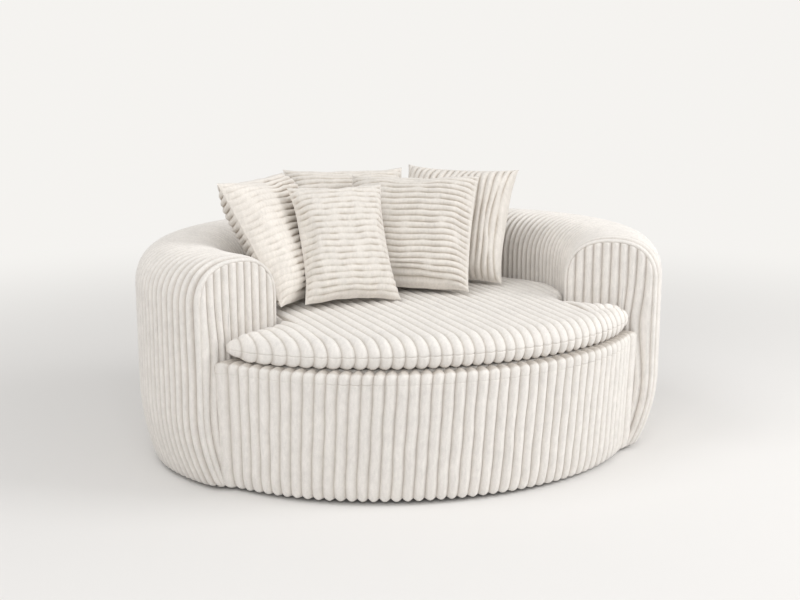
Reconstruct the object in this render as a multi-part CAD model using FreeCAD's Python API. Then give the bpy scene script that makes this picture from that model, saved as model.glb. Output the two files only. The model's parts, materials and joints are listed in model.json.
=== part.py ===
import FreeCAD, Part
import math
import os
from FreeCAD import Vector

# An oval lounge chair in wide-wale corduroy. A drum-shaped base carries a deep
# seat, and one thick padded wrap makes both arms and the back. A loose seat
# cushion with two ears lies on the deck, and five loose pillows lean on the wrap.
# Lengths are in millimetres and angles in degrees. +Z is up, +Y is the back, and
# the origin is on the floor under the middle of the seat.

# Outside sizes
chair_width = 1500.0
back_reach = 630.0
arm_height = 615.0
arch_rise = 125.0
wrap_thickness = 270.0
arm_end_angle = 27.0
base_half_width = 680.0
base_front_reach = 574.0
deck_height = 353.0
foot_height = 22.0

# Roundings of the outside
wrap_tuck_depth = 40.0
wrap_tuck_height = 215.0
base_tuck_depth = 24.0
base_tuck_height = 60.0
base_shoulder_depth = 28.0
base_shoulder_height = 34.0
arm_nose_depth = 17.0
arm_nose_length = 50.0

# Fabric, padding and boards
wale_pitch = 28.0
wale_depth = 7.0
cover_thickness = 3.0
lining_thickness = 1.2
wrap_foam_thickness = 25.0
base_foam_thickness = 30.0
deck_foam_thickness = 27.0
board_thickness = 18.0
skirt_thickness = 6.0
rail_thickness = 9.0
strap_thickness = 2.0
strap_width = 60.0
post_size = 45.0
ring_width = 62.0
joist_width = 32.0
joist_height = 60.0
foot_radius = 27.0
foot_taper = 5.0
foot_inset = 95.0
bolt_radius = 4.0
bolt_head_radius = 7.5
bolt_head_height = 5.5
bolt_sink = 6.0
bolt_grip = 14.0
strap_count = 4
former_count = 9
former_end_angle = 4.0
board_end_turn = 1.3
board_end_draw = 25.0
deck_end_turn = 0.1
ring_corner_steps = 2

# Seat cushion
seat_half_width = 668.0
seat_front_reach = 550.0
seat_thickness = 84.0
seat_crown = 13.0
seat_nose = 30.0
seat_back_gap = 4.0
ear_gap = 7.0
ear_tip_width = 3.0
core_thickness = 54.0
core_inset = 26.0

# Pillows
pillow_left_width = 378.0
pillow_left_height = 373.0
pillow_left_thickness = 130.0
pillow_back_width = 363.0
pillow_back_height = 371.0
pillow_back_thickness = 118.0
pillow_small_width = 274.0
pillow_small_height = 348.0
pillow_small_thickness = 110.0
pillow_centre_width = 379.0
pillow_centre_height = 370.0
pillow_centre_thickness = 144.0
pillow_right_width = 347.0
pillow_right_height = 362.0
pillow_right_thickness = 132.0
pillow_edge = 14.0
lens_power = 2.4

# Clearances
seat_gap = 0.7
pillow_gap = 0.3
fit_gap = 0.5
former_gap = 3.5
filling_gap = 3.0
cut_overrun = 20.0

# Steps of the long curves
plan_steps = 30
arch_steps = 7
frame_arch_steps = 5
nose_steps = 3
crown_steps = 4
face_steps = 5
foot_sides = 12
bolt_sides = 6
fine_steps = 4
search_steps = 30

# Shares of the tuck's height and of its depth, from the floor up
tuck_shares = ((0.0, 1.0), (0.25, 0.55), (1.0, 0.0))

# Shares of a rounding's height, from its free end to the flat wall
rounding_shares = (0.0, 1.0 / 3.0, 1.0)

# Shares of a pillow's and a cushion's sizes
pillow_waist_share = 0.05
pillow_fullness_share = 0.55
least_share = 0.05
nose_limit_share = 0.96
strap_spread_share = 0.8

wrap_half = wrap_thickness / 2
shoulder_height = arm_height - arch_rise
board_bottom = foot_height + lining_thickness + fit_gap
board_top = board_bottom + board_thickness
skin_depth = wale_depth + cover_thickness
deck_foam_top = deck_height - cover_thickness
deck_foam_bottom = deck_foam_top - deck_foam_thickness
ring_top = deck_foam_bottom - 2 * strap_thickness - fit_gap
ring_bottom = ring_top - board_thickness
former_half = wrap_half - skin_depth - wrap_foam_thickness - former_gap
former_rise = arch_rise - skin_depth - wrap_foam_thickness - rail_thickness - fit_gap
board_edge_inset = wrap_tuck_depth + skin_depth + wrap_foam_thickness / 2
skirt_inset = skin_depth + base_foam_thickness
bolt_head_bottom = bolt_sink
bolt_head_top = bolt_head_bottom + bolt_head_height
bolt_top = board_bottom + bolt_grip
arm_end = -arm_end_angle
far_arm_end = 180.0 + arm_end_angle
rail_turn = 90.0 - 90.0 / frame_arch_steps
front_start = far_arm_end
front_end = 360.0 - arm_end_angle
seat_bottom = deck_height + seat_gap
seat_middle = seat_bottom + seat_thickness / 2


def oval_radius(half_width, reach, angle):
    """Distance from the middle to an oval's edge in the direction of an angle."""
    turn = math.radians(angle)
    return 1.0 / math.hypot(math.cos(turn) / half_width, math.sin(turn) / reach)


def wrap_edge(angle, inset):
    return oval_radius(chair_width / 2, back_reach, angle) - inset


def base_edge(angle, inset):
    return oval_radius(base_half_width, base_front_reach, angle) - inset


def at(angle, radius, height):
    turn = math.radians(angle)
    return Vector(radius * math.cos(turn), radius * math.sin(turn), height)


def spread(start, end, count):
    """Values at even steps from start to end, both included."""
    return [start + (end - start) * step / count for step in range(count + 1)]


def even_angles(edge, start, end, count):
    """Angles that divide a curve of the plan into pieces of equal length."""
    fine = spread(start, end, count * fine_steps)
    places = [at(angle, edge(angle, 0.0), 0.0) for angle in fine]
    run = [0.0]
    for before, after in zip(places, places[1:]):
        run.append(run[-1] + before.distanceToPoint(after))
    angles = []
    for wanted in spread(0.0, run[-1], count):
        step = max(k for k, length in enumerate(run[:-1]) if length <= wanted)
        part = (wanted - run[step]) / (run[step + 1] - run[step])
        angles.append(fine[step] + part * (fine[step + 1] - fine[step]))
    return angles


def curve_length(edge, start, end):
    places = [at(angle, edge(angle, 0.0), 0.0) for angle in spread(start, end, plan_steps)]
    return sum(a.distanceToPoint(b) for a, b in zip(places, places[1:]))


def wale_stations(lows, crest_shares=(0.5,)):
    """Places along a row of wales, each with 1 in a valley and 0 on a crest."""
    stations = [(lows[0], 1.0)]
    for low, high in zip(lows, lows[1:]):
        stations += [(low + share * (high - low), 0.0) for share in crest_shares]
        stations.append((high, 1.0))
    return stations


def closed_wire(points):
    return Part.makePolygon(points + [points[0]])


def loft(rows):
    return Part.makeLoft([closed_wire(row) for row in rows], True, True)


def slab(outline, bottom, top):
    """A flat board of a plan outline between two heights."""
    low = [Vector(p.x, p.y, bottom) for p in outline]
    return Part.Face(closed_wire(low)).extrude(Vector(0, 0, top - bottom))


def save(shape, name):
    shape.exportStep("parts/" + name + ".step")


def front_turns():
    """Angles of the plan's corners along the base's front, from arm to arm."""
    return spread(front_start, front_end, plan_steps // 2)


def board_outline(rear_inset, front_inset, corner_steps=0):
    """The plan of a board: the wrap's curve behind, the base's in front, cut corners."""
    turns = spread(arm_end, far_arm_end, plan_steps)
    ends = [(turns[0] + board_end_turn, board_end_draw), (turns[-1] - board_end_turn, board_end_draw)]
    first = 1 + corner_steps
    rear = [ends[0]] + [(angle, 0.0) for angle in turns[first:-first]] + [ends[1]]
    front = front_turns()[corner_steps : plan_steps // 2 + 1 - corner_steps]
    points = [at(angle, wrap_edge(angle, rear_inset + drawn), 0.0) for angle, drawn in rear]
    return points + [at(angle, base_edge(angle, front_inset), 0.0) for angle in front]


def deck_sheet(front_inset, bottom, top):
    """A sheet over the webbing, from the wrap's inner wall to the base's front."""
    rear = spread(arm_end - deck_end_turn, far_arm_end + deck_end_turn, plan_steps)
    front = spread(front_start + deck_end_turn, front_end - deck_end_turn, plan_steps // 2)
    points = [at(angle, wrap_edge(angle, wrap_thickness + fit_gap), 0.0) for angle in rear]
    points += [at(angle, base_edge(angle, front_inset), 0.0) for angle in front]
    return slab(points, bottom, top)


def wrap_outer_wall(inset):
    """Offsets and heights of the wrap's outer wall, drawn in towards the floor."""
    return [
        (
            wrap_half - wrap_tuck_depth * depth_share - inset,
            foot_height + wrap_tuck_height * height_share,
        )
        for height_share, depth_share in tuck_shares
    ]


def arch(half, rise, start=0.0, end=180.0, steps=arch_steps):
    """Offsets and heights over the top of the wrap, from outside to inside."""
    turns = [math.radians(turn) for turn in spread(start, end, steps)]
    return [(half * math.cos(turn), shoulder_height + rise * math.sin(turn)) for turn in turns]


def wrap_section(angle, inset, floor):
    """The closed outline of the wrap in one radial plane, down to a floor height."""
    pairs = wrap_outer_wall(inset) + arch(wrap_half - inset, arch_rise - inset)
    pairs[0] = (pairs[0][0], floor)
    pairs.append((inset - wrap_half, floor))
    return [at(angle, wrap_edge(angle, wrap_half) + off, z) for off, z in pairs]


def nose_inset(angle):
    """How far the wrap is rounded in near the front end of an arm."""
    off_end = min(angle - arm_end, far_arm_end - angle)
    way = math.radians(off_end) * wrap_edge(angle, wrap_half) / arm_nose_length
    return arm_nose_depth * (1.0 - math.sqrt(1.0 - (1.0 - min(way, 1.0)) ** 2))


def wrap_middle(angle, inset):
    return wrap_edge(angle, wrap_half + inset)


def wrap_stretch(start, end):
    """A stretch of the padded wrap, with wales that run over the arch."""
    count = round(curve_length(wrap_middle, start, end) / wale_pitch)
    return loft(
        [
            wrap_section(angle, wale_depth * low + nose_inset(angle), foot_height + fit_gap)
            for angle, low in wale_stations(even_angles(wrap_middle, start, end, count))
        ]
    )


def wrap_turns(start, end):
    """Angles of the corners that the lining, the padding and the boards share."""
    return spread(start, end, round(plan_steps * (end - start) / (far_arm_end - arm_end)))


def wrap_cutter(start, end):
    """The space inside the wrap's cover, open below and towards the seat's inside."""
    rows = []
    for angle in wrap_turns(start, end):
        inset = skin_depth + nose_inset(angle)
        pairs = wrap_outer_wall(inset) + arch(wrap_half - inset, arch_rise - inset)
        pairs[0] = (pairs[0][0], foot_height - cut_overrun)
        pairs.append((inset - wrap_half, deck_foam_bottom))
        pairs.append((-wrap_half - cut_overrun, deck_foam_bottom))
        pairs.append((-wrap_half - cut_overrun, foot_height - cut_overrun))
        rows.append([at(angle, wrap_edge(angle, wrap_half) + off, z) for off, z in pairs])
    return loft(rows)


def wrap_cover(start, end):
    return wrap_stretch(start, end).cut(wrap_cutter(start, end))


def wrap_foam(start, end):
    """Padding over the formers: the shape of the cover's inside, hollowed out."""
    half = former_half + former_gap
    rise = former_rise + (rail_thickness + fit_gap) / math.sin(math.radians(rail_turn))
    rows = []
    for angle in wrap_turns(start, end):
        inset = skin_depth + nose_inset(angle)
        outer = wrap_outer_wall(inset) + arch(wrap_half - inset, arch_rise - inset)
        outer[0] = (outer[0][0], board_bottom)
        outer.append((inset - wrap_half, deck_foam_bottom))
        inner = [(-half, deck_foam_bottom)] + arch(half, rise, 180.0, 0.0, frame_arch_steps)
        inner.append((half, foot_height + wrap_tuck_height))
        edge = min(wrap_half - board_edge_inset + former_gap, outer[0][0] - cover_thickness)
        inner += [(edge, board_top), (edge, board_bottom)]
        pairs = outer + inner
        rows.append([at(angle, wrap_edge(angle, wrap_half) + off, z) for off, z in pairs])
    return loft(rows)


def radial_plate(pairs, angle, thickness):
    """A board that stands in a radial plane, from its outline of offsets and heights."""
    centre = wrap_edge(angle, wrap_half)
    points = [at(angle, centre + off, z) for off, z in pairs]
    across = at(angle + 90.0, thickness, 0.0)
    plate = Part.Face(closed_wire(points)).extrude(across)
    plate.translate(across * -0.5)
    return plate


def former(angle):
    """One arch-shaped rib of the wrap's frame, with a window cut out to lighten it."""
    foot = [(wrap_half - board_edge_inset - board_thickness, board_top)]
    wall = [(former_half, foot_height + wrap_tuck_height)]
    over = arch(former_half, former_rise, steps=frame_arch_steps)
    inside = [(-former_half, board_top)]
    plate = radial_plate(foot + wall + over + inside, angle, board_thickness)
    window_half = former_half / 2
    low = board_top + window_half
    high = shoulder_height - window_half
    window = [
        (-window_half, low + window_half),
        (-window_half / 2, low),
        (window_half / 2, low),
        (window_half, low + window_half),
        (window_half, high),
        (window_half / 2, high + window_half),
        (-window_half / 2, high + window_half),
        (-window_half, high),
    ]
    return plate.cut(radial_plate(window, angle, board_thickness + cut_overrun))


def crest_rail(start, end):
    """A bent strip that lies on the flat tops of the formers and ties them together."""
    turn = math.radians(rail_turn)
    half = former_half * math.cos(turn)
    bottom = shoulder_height + former_rise * math.sin(turn)
    pairs = [(-half, bottom), (half, bottom), (half, bottom + rail_thickness)]
    pairs.append((-half, bottom + rail_thickness))
    return loft(
        [
            [at(angle, wrap_edge(angle, wrap_half) + off, z) for off, z in pairs]
            for angle in spread(start, end, plan_steps)
        ]
    )


def base_profile(inset, floor, top):
    """Insets and heights of the base's front, tucked in below and rounded at the deck."""
    pairs = [(base_tuck_depth, floor)]
    pairs += [
        (base_tuck_depth * (1.0 - share) ** 2, foot_height + base_tuck_height * share)
        for share in rounding_shares[1:]
    ]
    pairs += [
        (base_shoulder_depth * share**2, deck_height - base_shoulder_height * (1.0 - share))
        for share in rounding_shares[:-1]
    ]
    pairs.append((base_shoulder_depth, top))
    return [(depth + inset, z) for depth, z in pairs]


def base_band(outer, inner, ribbed):
    """A curved band round the base's front, plain or with upright wales."""
    corners = front_turns()
    stations = [(angle, 0.0) for angle in corners]
    if ribbed:
        count = round(curve_length(base_edge, front_start, front_end) / wale_pitch)
        stations = wale_stations(even_angles(base_edge, front_start, front_end, count))
    rows = []
    for (outer_inset, z), (inner_inset, _) in zip(outer, inner):
        row = [at(turn, base_edge(turn, outer_inset + wale_depth * low), z) for turn, low in stations]
        row += [at(turn, base_edge(turn, inner_inset), z) for turn in corners[::-1]]
        rows.append(row)
    return loft(rows)


def front_cover():
    floor = foot_height + fit_gap
    outside = base_profile(0.0, floor, deck_height)
    return base_band(outside, base_profile(skin_depth, floor, deck_height), True)


def front_foam():
    """Padding on the skirt, rounded over its top edge and straight behind."""
    outside = base_profile(skin_depth + fit_gap, board_bottom, deck_foam_top)
    return base_band(outside, [(skirt_inset - fit_gap, z) for _, z in outside], False)


def arm_end_prism(side, margin, depth):
    """The arch-shaped end of an arm, outside the base's front, down to a depth in it."""
    angle = arm_end if side > 0 else far_arm_end
    centre = wrap_edge(angle, wrap_half)
    inset = arm_nose_depth + cover_thickness - margin
    base_side = base_edge(angle, margin - fit_gap) - centre
    floor = foot_height + fit_gap
    pairs = wrap_outer_wall(inset) + arch(wrap_half - inset, arch_rise - inset)
    pairs[0] = (pairs[0][0], floor - margin)
    step = deck_height + fit_gap - margin
    pairs += [(inset - wrap_half, step), (base_side, step)]
    tucked = base_profile(0.0, floor - margin, deck_height)[: len(rounding_shares)]
    pairs += [(base_side - inward, z) for inward, z in tucked[::-1]]
    forward = arm_forward(side)
    front = [at(angle, centre + off, z) + forward * cut_overrun for off, z in pairs]
    return Part.Face(closed_wire(front)).extrude(forward * -(cut_overrun + depth))


def arm_forward(side):
    """The direction straight out of the end of an arm."""
    angle = arm_end if side > 0 else far_arm_end
    return at(angle - side * 90.0, 1.0, 0.0)


def arm_panel(side):
    """The end panel of an arm, with upright wales inside the rounded border."""
    angle = arm_end if side > 0 else far_arm_end
    centre = wrap_edge(angle, wrap_half)
    half = wrap_half - arm_nose_depth - cover_thickness
    forward = arm_forward(side)
    lows = spread(-half, half, round(2 * half / wale_pitch))
    ribs = [
        at(angle, centre + off, 0.0) - forward * (wale_depth * low)
        for off, low in wale_stations(lows)
    ]
    ribs += [ribs[-1] + forward * -cover_thickness, ribs[0] + forward * -cover_thickness]
    ribs = Part.Face(closed_wire(ribs)).extrude(Vector(0, 0, arm_height))
    return arm_end_prism(side, 0.0, skin_depth).common(ribs)


def seat_front(x, inset):
    return -(seat_front_reach - inset) * math.sqrt(1.0 - (x / (seat_half_width - inset)) ** 2)


def seat_round(x, inset):
    """Half the depth of the round part of the cushion, which lies inside the wrap."""
    half_width = chair_width / 2 - wrap_thickness - seat_back_gap - inset
    reach = back_reach - wrap_thickness - seat_back_gap - inset
    return reach * math.sqrt(max(0.0, 1.0 - (x / half_width) ** 2))


def ear_back(x, inset):
    turn = math.radians(arm_end_angle)
    return -abs(x) * math.tan(turn) - (ear_gap + inset) / math.cos(turn)


def split_place(inset):
    """Half the width of the cushion's middle part, where ear and round part meet."""
    low, high = 0.0, seat_half_width - wrap_thickness
    for _ in range(search_steps):
        middle = (low + high) / 2
        if -seat_round(middle, inset) < ear_back(middle, inset):
            low = middle
        else:
            high = middle
    return low


def ear_tip(inset):
    """Half the width of the cushion at the rounded points of its ears."""
    low, high = split_place(inset), seat_half_width - inset
    for _ in range(search_steps):
        middle = (low + high) / 2
        if ear_back(middle, inset) - seat_front(middle, inset) > ear_tip_width:
            low = middle
        else:
            high = middle
    return low


def seat_section(x, front, back, low, side_share=1.0):
    """The cushion's outline across one line of the seat, with rounded ends and a crown."""
    depth = wale_depth * low
    half = (seat_thickness / 2 - depth) * side_share
    front, back = front + depth, back - depth
    nose = min(seat_nose, (back - front) / 2 * nose_limit_share)
    turns = [math.radians(turn) for turn in spread(-90.0, 90.0, nose_steps)]
    ends = [(nose - nose * math.cos(turn), seat_middle + half * math.sin(turn)) for turn in turns]
    crown = seat_crown * (1.0 - (x / seat_half_width) ** 2) * side_share
    top = []
    for share in spread(0.0, 1.0, crown_steps)[1:-1]:
        y = front + nose + share * (back - front - 2 * nose)
        top.append((y, seat_middle + half + crown * 4 * share * (1.0 - share)))
    pairs = [(front + off, z) for off, z in ends] + top + [(back - off, z) for off, z in ends[::-1]]
    if side_share == 1.0:
        pairs[0] = (pairs[0][0], seat_bottom)
        pairs[-1] = (pairs[-1][0], seat_bottom)
    return [Vector(x, y, z) for y, z in pairs]


def seat_wales(start, end):
    count = max(1, round(abs(end - start) / wale_pitch))
    return wale_stations(spread(start, end, count))


def seat_ear(side):
    """The part of the cushion that reaches out in front of an arm, down to its tip."""
    rows = []
    for x, low in seat_wales(split_place(0.0), ear_tip(0.0)):
        front, back = seat_front(x, 0.0), ear_back(x, 0.0)
        span = max(back - front - 2 * wale_depth * low, ear_tip_width)
        share = math.sqrt(min(1.0, span / (2 * seat_nose)))
        rows.append(seat_section(side * x, front, back, low, share))
    return loft(rows)


def seat_shoulder(side):
    """The part of the cushion beside the middle, rounded in against the wrap."""
    limit = chair_width / 2 - wrap_thickness - seat_back_gap
    rows = []
    for x, low in seat_wales(split_place(0.0), limit - ear_tip_width):
        outwards = max(0.0, x - (limit - seat_nose)) / seat_nose
        share = math.sqrt(max(least_share, 1.0 - outwards**2))
        reach = seat_round(x, 0.0)
        rows.append(seat_section(side * x, -reach, reach, low, share))
    return loft(rows)


def seat_cushion():
    """The whole cushion: its middle, and on each side an ear and a round shoulder."""
    split = split_place(0.0)
    middle = []
    for x, low in seat_wales(-split, split):
        middle.append(seat_section(x, seat_front(x, 0.0), seat_round(x, 0.0), low))
    whole = loft(middle)
    for side in (-1.0, 1.0):
        whole = whole.fuse(seat_ear(side)).fuse(seat_shoulder(side))
    return whole


def seat_core(room):
    """The foam block in the cushion, cut from a flat sheet, or the space that it needs."""
    inset = core_inset - room
    bottom = seat_middle - core_thickness / 2 - room
    top = seat_middle + core_thickness / 2 + room
    tip, split = ear_tip(inset), split_place(inset)
    front = [Vector(x, seat_front(x, inset), 0) for x in spread(-tip, tip, plan_steps // 2)]
    back = [Vector(x, ear_back(x, inset), 0) for x in (tip, split, -split, -tip)]
    half_width = chair_width / 2 - wrap_thickness - seat_back_gap - inset
    reach = seat_round(0.0, inset)
    round_part = [
        Vector(half_width * math.cos(turn), reach * math.sin(turn), 0)
        for turn in (math.radians(angle) for angle in spread(0.0, 360.0, plan_steps)[:-1])
    ]
    block = slab(front + back, bottom, top).fuse(slab(round_part, bottom, top))
    return block.removeSplitter()


# The pillows. Each has the place of its bottom edge as shares of the seat's half
# width and depth, its turn about the upright, its lean, its roll, its width,
# height and thickness, and which way its wales run.
left_size = (pillow_left_width, pillow_left_height, pillow_left_thickness)
back_size = (pillow_back_width, pillow_back_height, pillow_back_thickness)
small_size = (pillow_small_width, pillow_small_height, pillow_small_thickness)
centre_size = (pillow_centre_width, pillow_centre_height, pillow_centre_thickness)
right_size = (pillow_right_width, pillow_right_height, pillow_right_thickness)
pillow_shares = {
    "left": (-0.565, -0.114, 50.0, 31.3, -1.3, *left_size, "across"),
    "back": (-0.246, 0.347, -8.6, 33.6, 0.0, *back_size, "across"),
    "small": (-0.394, -0.450, 3.0, 31.2, -0.8, *small_size, "across"),
    "centre": (-0.040, -0.161, -28.8, 36.1, 1.0, *centre_size, "across"),
    "right": (0.323, 0.236, -37.0, 28.6, 0.0, *right_size, "upright"),
}


def pillow_axes(turn, lean, roll):
    """Directions across, up and out of the face of a pillow that leans back."""
    turn, lean, roll = (math.radians(value) for value in (turn, lean, roll))
    flat_across = Vector(math.cos(turn), math.sin(turn), 0)
    flat_out = Vector(math.sin(turn), -math.cos(turn), 0)
    flat_up = Vector(0, 0, math.cos(lean)) - flat_out * math.sin(lean)
    out = flat_out * math.cos(lean) + Vector(0, 0, math.sin(lean))
    across = flat_across * math.cos(roll) + flat_up * math.sin(roll)
    up = flat_up * math.cos(roll) - flat_across * math.sin(roll)
    return across, up, out


def lens_depth(part, thick):
    """How far a face of the pillow bulges at a share of its half width."""
    return thick * (1.0 - abs(part) ** lens_power)


def pillow_half_sizes(share, half_wide, half_thick, inset, low):
    """Half width and half thickness of a pillow at a share of its half length."""
    fall = max(0.0, 1.0 - share**2)
    wide = half_wide * (1.0 - pillow_waist_share * fall) - inset
    edge = pillow_edge / 2
    thick = edge + (half_thick - edge) * fall**pillow_fullness_share
    thick *= 1.0 - inset / half_thick
    return wide, thick - wale_depth * low * fall


def pillow_rows(width, height, thickness, wales, inset, ribbed, place):
    """Corners of the lens-shaped sections of a pillow, in a row of wales, in place."""
    half_long, half_wide = height / 2, width / 2
    if wales == "upright":
        half_long, half_wide = half_wide, half_long
    lows = spread(-1.0, 1.0, round(2 * half_long / wale_pitch))
    plain = [(share, 0.0) for share in lows[:-1:2] + [1.0]]
    rows = []
    for share, low in wale_stations(lows) if ribbed else plain:
        wide, thick = pillow_half_sizes(share, half_wide, thickness / 2, inset, low)
        along = share * (half_long - inset)
        lens = [
            (part * wide, lens_depth(part, thick)) for part in spread(-1.0, 1.0, face_steps)
        ]
        row = lens[:-1] + [(-across, -out) for across, out in lens[:-1]]
        if wales == "upright":
            points = [Vector(along, -out, across) for across, out in row]
        else:
            points = [Vector(across, -out, along) for across, out in row]
        rows.append([place.multVec(point) for point in points])
    return rows


def seat_top(x, y):
    """Height of the cushion's wales at a place on the seat."""
    share = 0.0
    if abs(x) < seat_half_width:
        front, back = seat_front(x, 0.0), seat_round(x, 0.0)
        share = (y - front - seat_nose) / max(back - front - 2 * seat_nose, seat_nose)
    step = min(max(share, 0.0), 1.0) * crown_steps
    before = min(int(step), crown_steps - 1)
    low, high = (4 * k * (crown_steps - k) / crown_steps**2 for k in (before, before + 1))
    crown = seat_crown * (1.0 - (x / seat_half_width) ** 2)
    return seat_middle + seat_thickness / 2 + crown * (low + (step - before) * (high - low))


def pillow_place(values):
    """Where a pillow stands: its turn, and its centre at rest on the seat cushion."""
    x_share, y_share, turn, lean, roll = values[:5]
    across, up, out = pillow_axes(turn, lean, roll)
    x = x_share * (chair_width / 2 - wrap_thickness)
    y = y_share * (back_reach - wrap_thickness)
    height = values[6]
    centre = Vector(x, y, seat_middle) + up * (height / 2)
    rows = pillow_rows(*values[5:], 0.0, True, axes_matrix(across, up, out, centre))
    lift = max(
        seat_top(point.x, point.y) + pillow_gap - point.z for row in rows for point in row
    )
    return axes_matrix(across, up, out, centre + Vector(0, 0, lift))


def axes_matrix(across, up, out, centre):
    return FreeCAD.Matrix(
        across.x, -out.x, up.x, centre.x,
        across.y, -out.y, up.y, centre.y,
        across.z, -out.z, up.z, centre.z,
    )


def pillow_parts(values):
    """A pillow's cover and the filling inside it, both in place."""
    size = values[5:]
    place = pillow_place(values)
    cover = loft(pillow_rows(*size, 0.0, True, place))
    cover = cover.cut(loft(pillow_rows(*size, skin_depth, False, place)))
    return cover, loft(pillow_rows(*size, skin_depth + filling_gap, False, place))


def upright_box(x, y, size_x, size_y, bottom, top):
    corner = Vector(x - size_x / 2, y - size_y / 2, bottom)
    return Part.makeBox(size_x, size_y, top - bottom, corner)


def many_sided_outline(x, y, radius, height, sides):
    turns = spread(0.0, 360.0, sides)[:-1]
    return [Vector(x, y, 0) + at(turn, radius, height) for turn in turns]


def many_sided_prism(x, y, radius, bottom, top, sides=bolt_sides):
    return slab(many_sided_outline(x, y, radius, 0.0, sides), bottom, top)


def plain_foot(x, y):
    """A low tapered glide, from the floor to the board."""
    low = many_sided_outline(x, y, foot_radius - foot_taper, 0.0, foot_sides)
    return loft([low, many_sided_outline(x, y, foot_radius, board_bottom, foot_sides)])


def bolted_foot(x, y):
    """A glide with a socket below and a bolt hole through to the board."""
    socket_radius = bolt_head_radius + fit_gap
    socket = many_sided_prism(x, y, socket_radius, -cut_overrun, bolt_head_top)
    hole = many_sided_prism(x, y, bolt_radius + fit_gap / 2, 0.0, board_bottom + cut_overrun)
    return plain_foot(x, y).cut(socket).cut(hole)


def foot_bolt(x, y):
    """The hexagon bolt of a foot: its head sits in the foot, its shank in the board."""
    head = many_sided_prism(x, y, bolt_head_radius, bolt_head_bottom, bolt_head_top)
    return head.fuse(many_sided_prism(x, y, bolt_radius, bolt_head_top, bolt_top))


def foot_places():
    """Where the bolted feet stand, round the edge of the board."""
    places = {}
    angles = {"right": 10.0, "back_right": 60.0, "back_left": 120.0, "left": 170.0}
    for name, angle in angles.items():
        places[name] = at(angle, wrap_edge(angle, foot_inset), 0.0)
    for name, angle in {"front_left": 240.0, "front_right": 300.0}.items():
        places[name] = at(angle, base_edge(angle, foot_inset), 0.0)
    return places


def board(bottom, top, places):
    """The plywood bottom of the chair, with holes for the feet's bolts."""
    sheet = slab(board_outline(board_edge_inset, skirt_inset + skirt_thickness), bottom, top)
    for place in places:
        radius = bolt_radius + fit_gap / 2
        hole = many_sided_prism(place.x, place.y, radius, bottom - cut_overrun, top + cut_overrun)
        sheet = sheet.cut(hole)
    return sheet


def dust_cover(places):
    """Thin black cloth under the board, open round each foot."""
    top = board_bottom - fit_gap / 2
    margin = board_thickness + skirt_thickness
    outline = board_outline(board_edge_inset + margin, skirt_inset + margin)
    cloth = slab(outline, top - lining_thickness, top)
    for place in places:
        radius = foot_radius + former_gap
        hole = many_sided_prism(place.x, place.y, radius, 0.0, top + cut_overrun, foot_sides)
        cloth = cloth.cut(hole)
    return cloth


def deck_ring():
    """The plywood ring under the deck, held by the formers, the skirt and the posts."""
    rear_inset = wrap_half + former_half + former_gap
    front_inset = skirt_inset + skirt_thickness
    inner = board_outline(rear_inset + ring_width, front_inset + ring_width, ring_corner_steps)
    opening = slab(inner, ring_bottom - cut_overrun, ring_top + cut_overrun)
    return slab(board_outline(rear_inset, front_inset), ring_bottom, ring_top).cut(opening)


def skirt():
    """The bent board round the front, from the bottom board's edge to the deck."""
    inset = skirt_inset + skirt_thickness
    outside = [at(angle, base_edge(angle, skirt_inset), 0.0) for angle in front_turns()]
    inside = [at(angle, base_edge(angle, inset), 0.0) for angle in front_turns()]
    return slab(outside + inside[::-1], board_bottom, ring_top)


def strap_spans():
    """Places and reaches of the straps, which end on the middle of the deck ring."""
    reach = ring_width / 2
    half_width = chair_width / 2 - wrap_half - former_half - reach
    back = back_reach - wrap_half - former_half - reach
    front = base_front_reach - skirt_inset - skirt_thickness - reach
    return half_width, back, front


def strap(number, lengthwise):
    """One band of the deck's webbing. The lengthwise ones lie under the others."""
    half_width, back, front = strap_spans()
    share = (2 * number + 1) / strap_count - 1.0
    middle = (back - front) / 2
    if lengthwise:
        x = share * half_width * strap_spread_share
        inward = math.sqrt(1.0 - (x / half_width) ** 2)
        low, high = -front * inward, back * inward
        place = (x, (low + high) / 2, strap_width, high - low)
        bottom = ring_top
    else:
        half_depth = (back + front) / 2
        y = middle + share * half_depth * strap_spread_share
        reach = back if y > 0 else front
        length = 2 * half_width * math.sqrt(1.0 - (y / reach) ** 2)
        place = (0.0, y, length, strap_width)
        bottom = ring_top + strap_thickness
    return upright_box(*place, bottom, bottom + strap_thickness)


def post(angle):
    """A square timber between the bottom board and the deck ring."""
    if front_start <= angle % 360.0 <= front_end:
        radius = base_edge(angle, skirt_inset + skirt_thickness + ring_width / 2)
    else:
        radius = wrap_edge(angle, wrap_half + former_half + ring_width / 2)
    centre = at(angle, radius, 0.0)
    box = upright_box(0.0, 0.0, post_size, post_size, board_top, ring_bottom)
    box.rotate(Vector(0, 0, 0), Vector(0, 0, 1), angle)
    box.translate(centre)
    return box


def joist():
    """The timber on edge that crosses the middle, under the deck ring's front and back."""
    _, back, front = strap_spans()
    bottom = ring_bottom - joist_height
    return upright_box(0.0, (back - front) / 2, joist_width, back + front, bottom, ring_bottom)


os.makedirs("parts", exist_ok=True)

places = foot_places()
save(board(board_bottom, board_top, places.values()), "bottom_board")
save(dust_cover([Vector(0, 0, 0), *places.values()]), "dust_cover")
save(plain_foot(0.0, 0.0), "foot_centre")
for name, place in places.items():
    save(bolted_foot(place.x, place.y), "foot_" + name)
save(Part.makeCompound([foot_bolt(place.x, place.y) for place in places.values()]), "foot_bolts")

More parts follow.
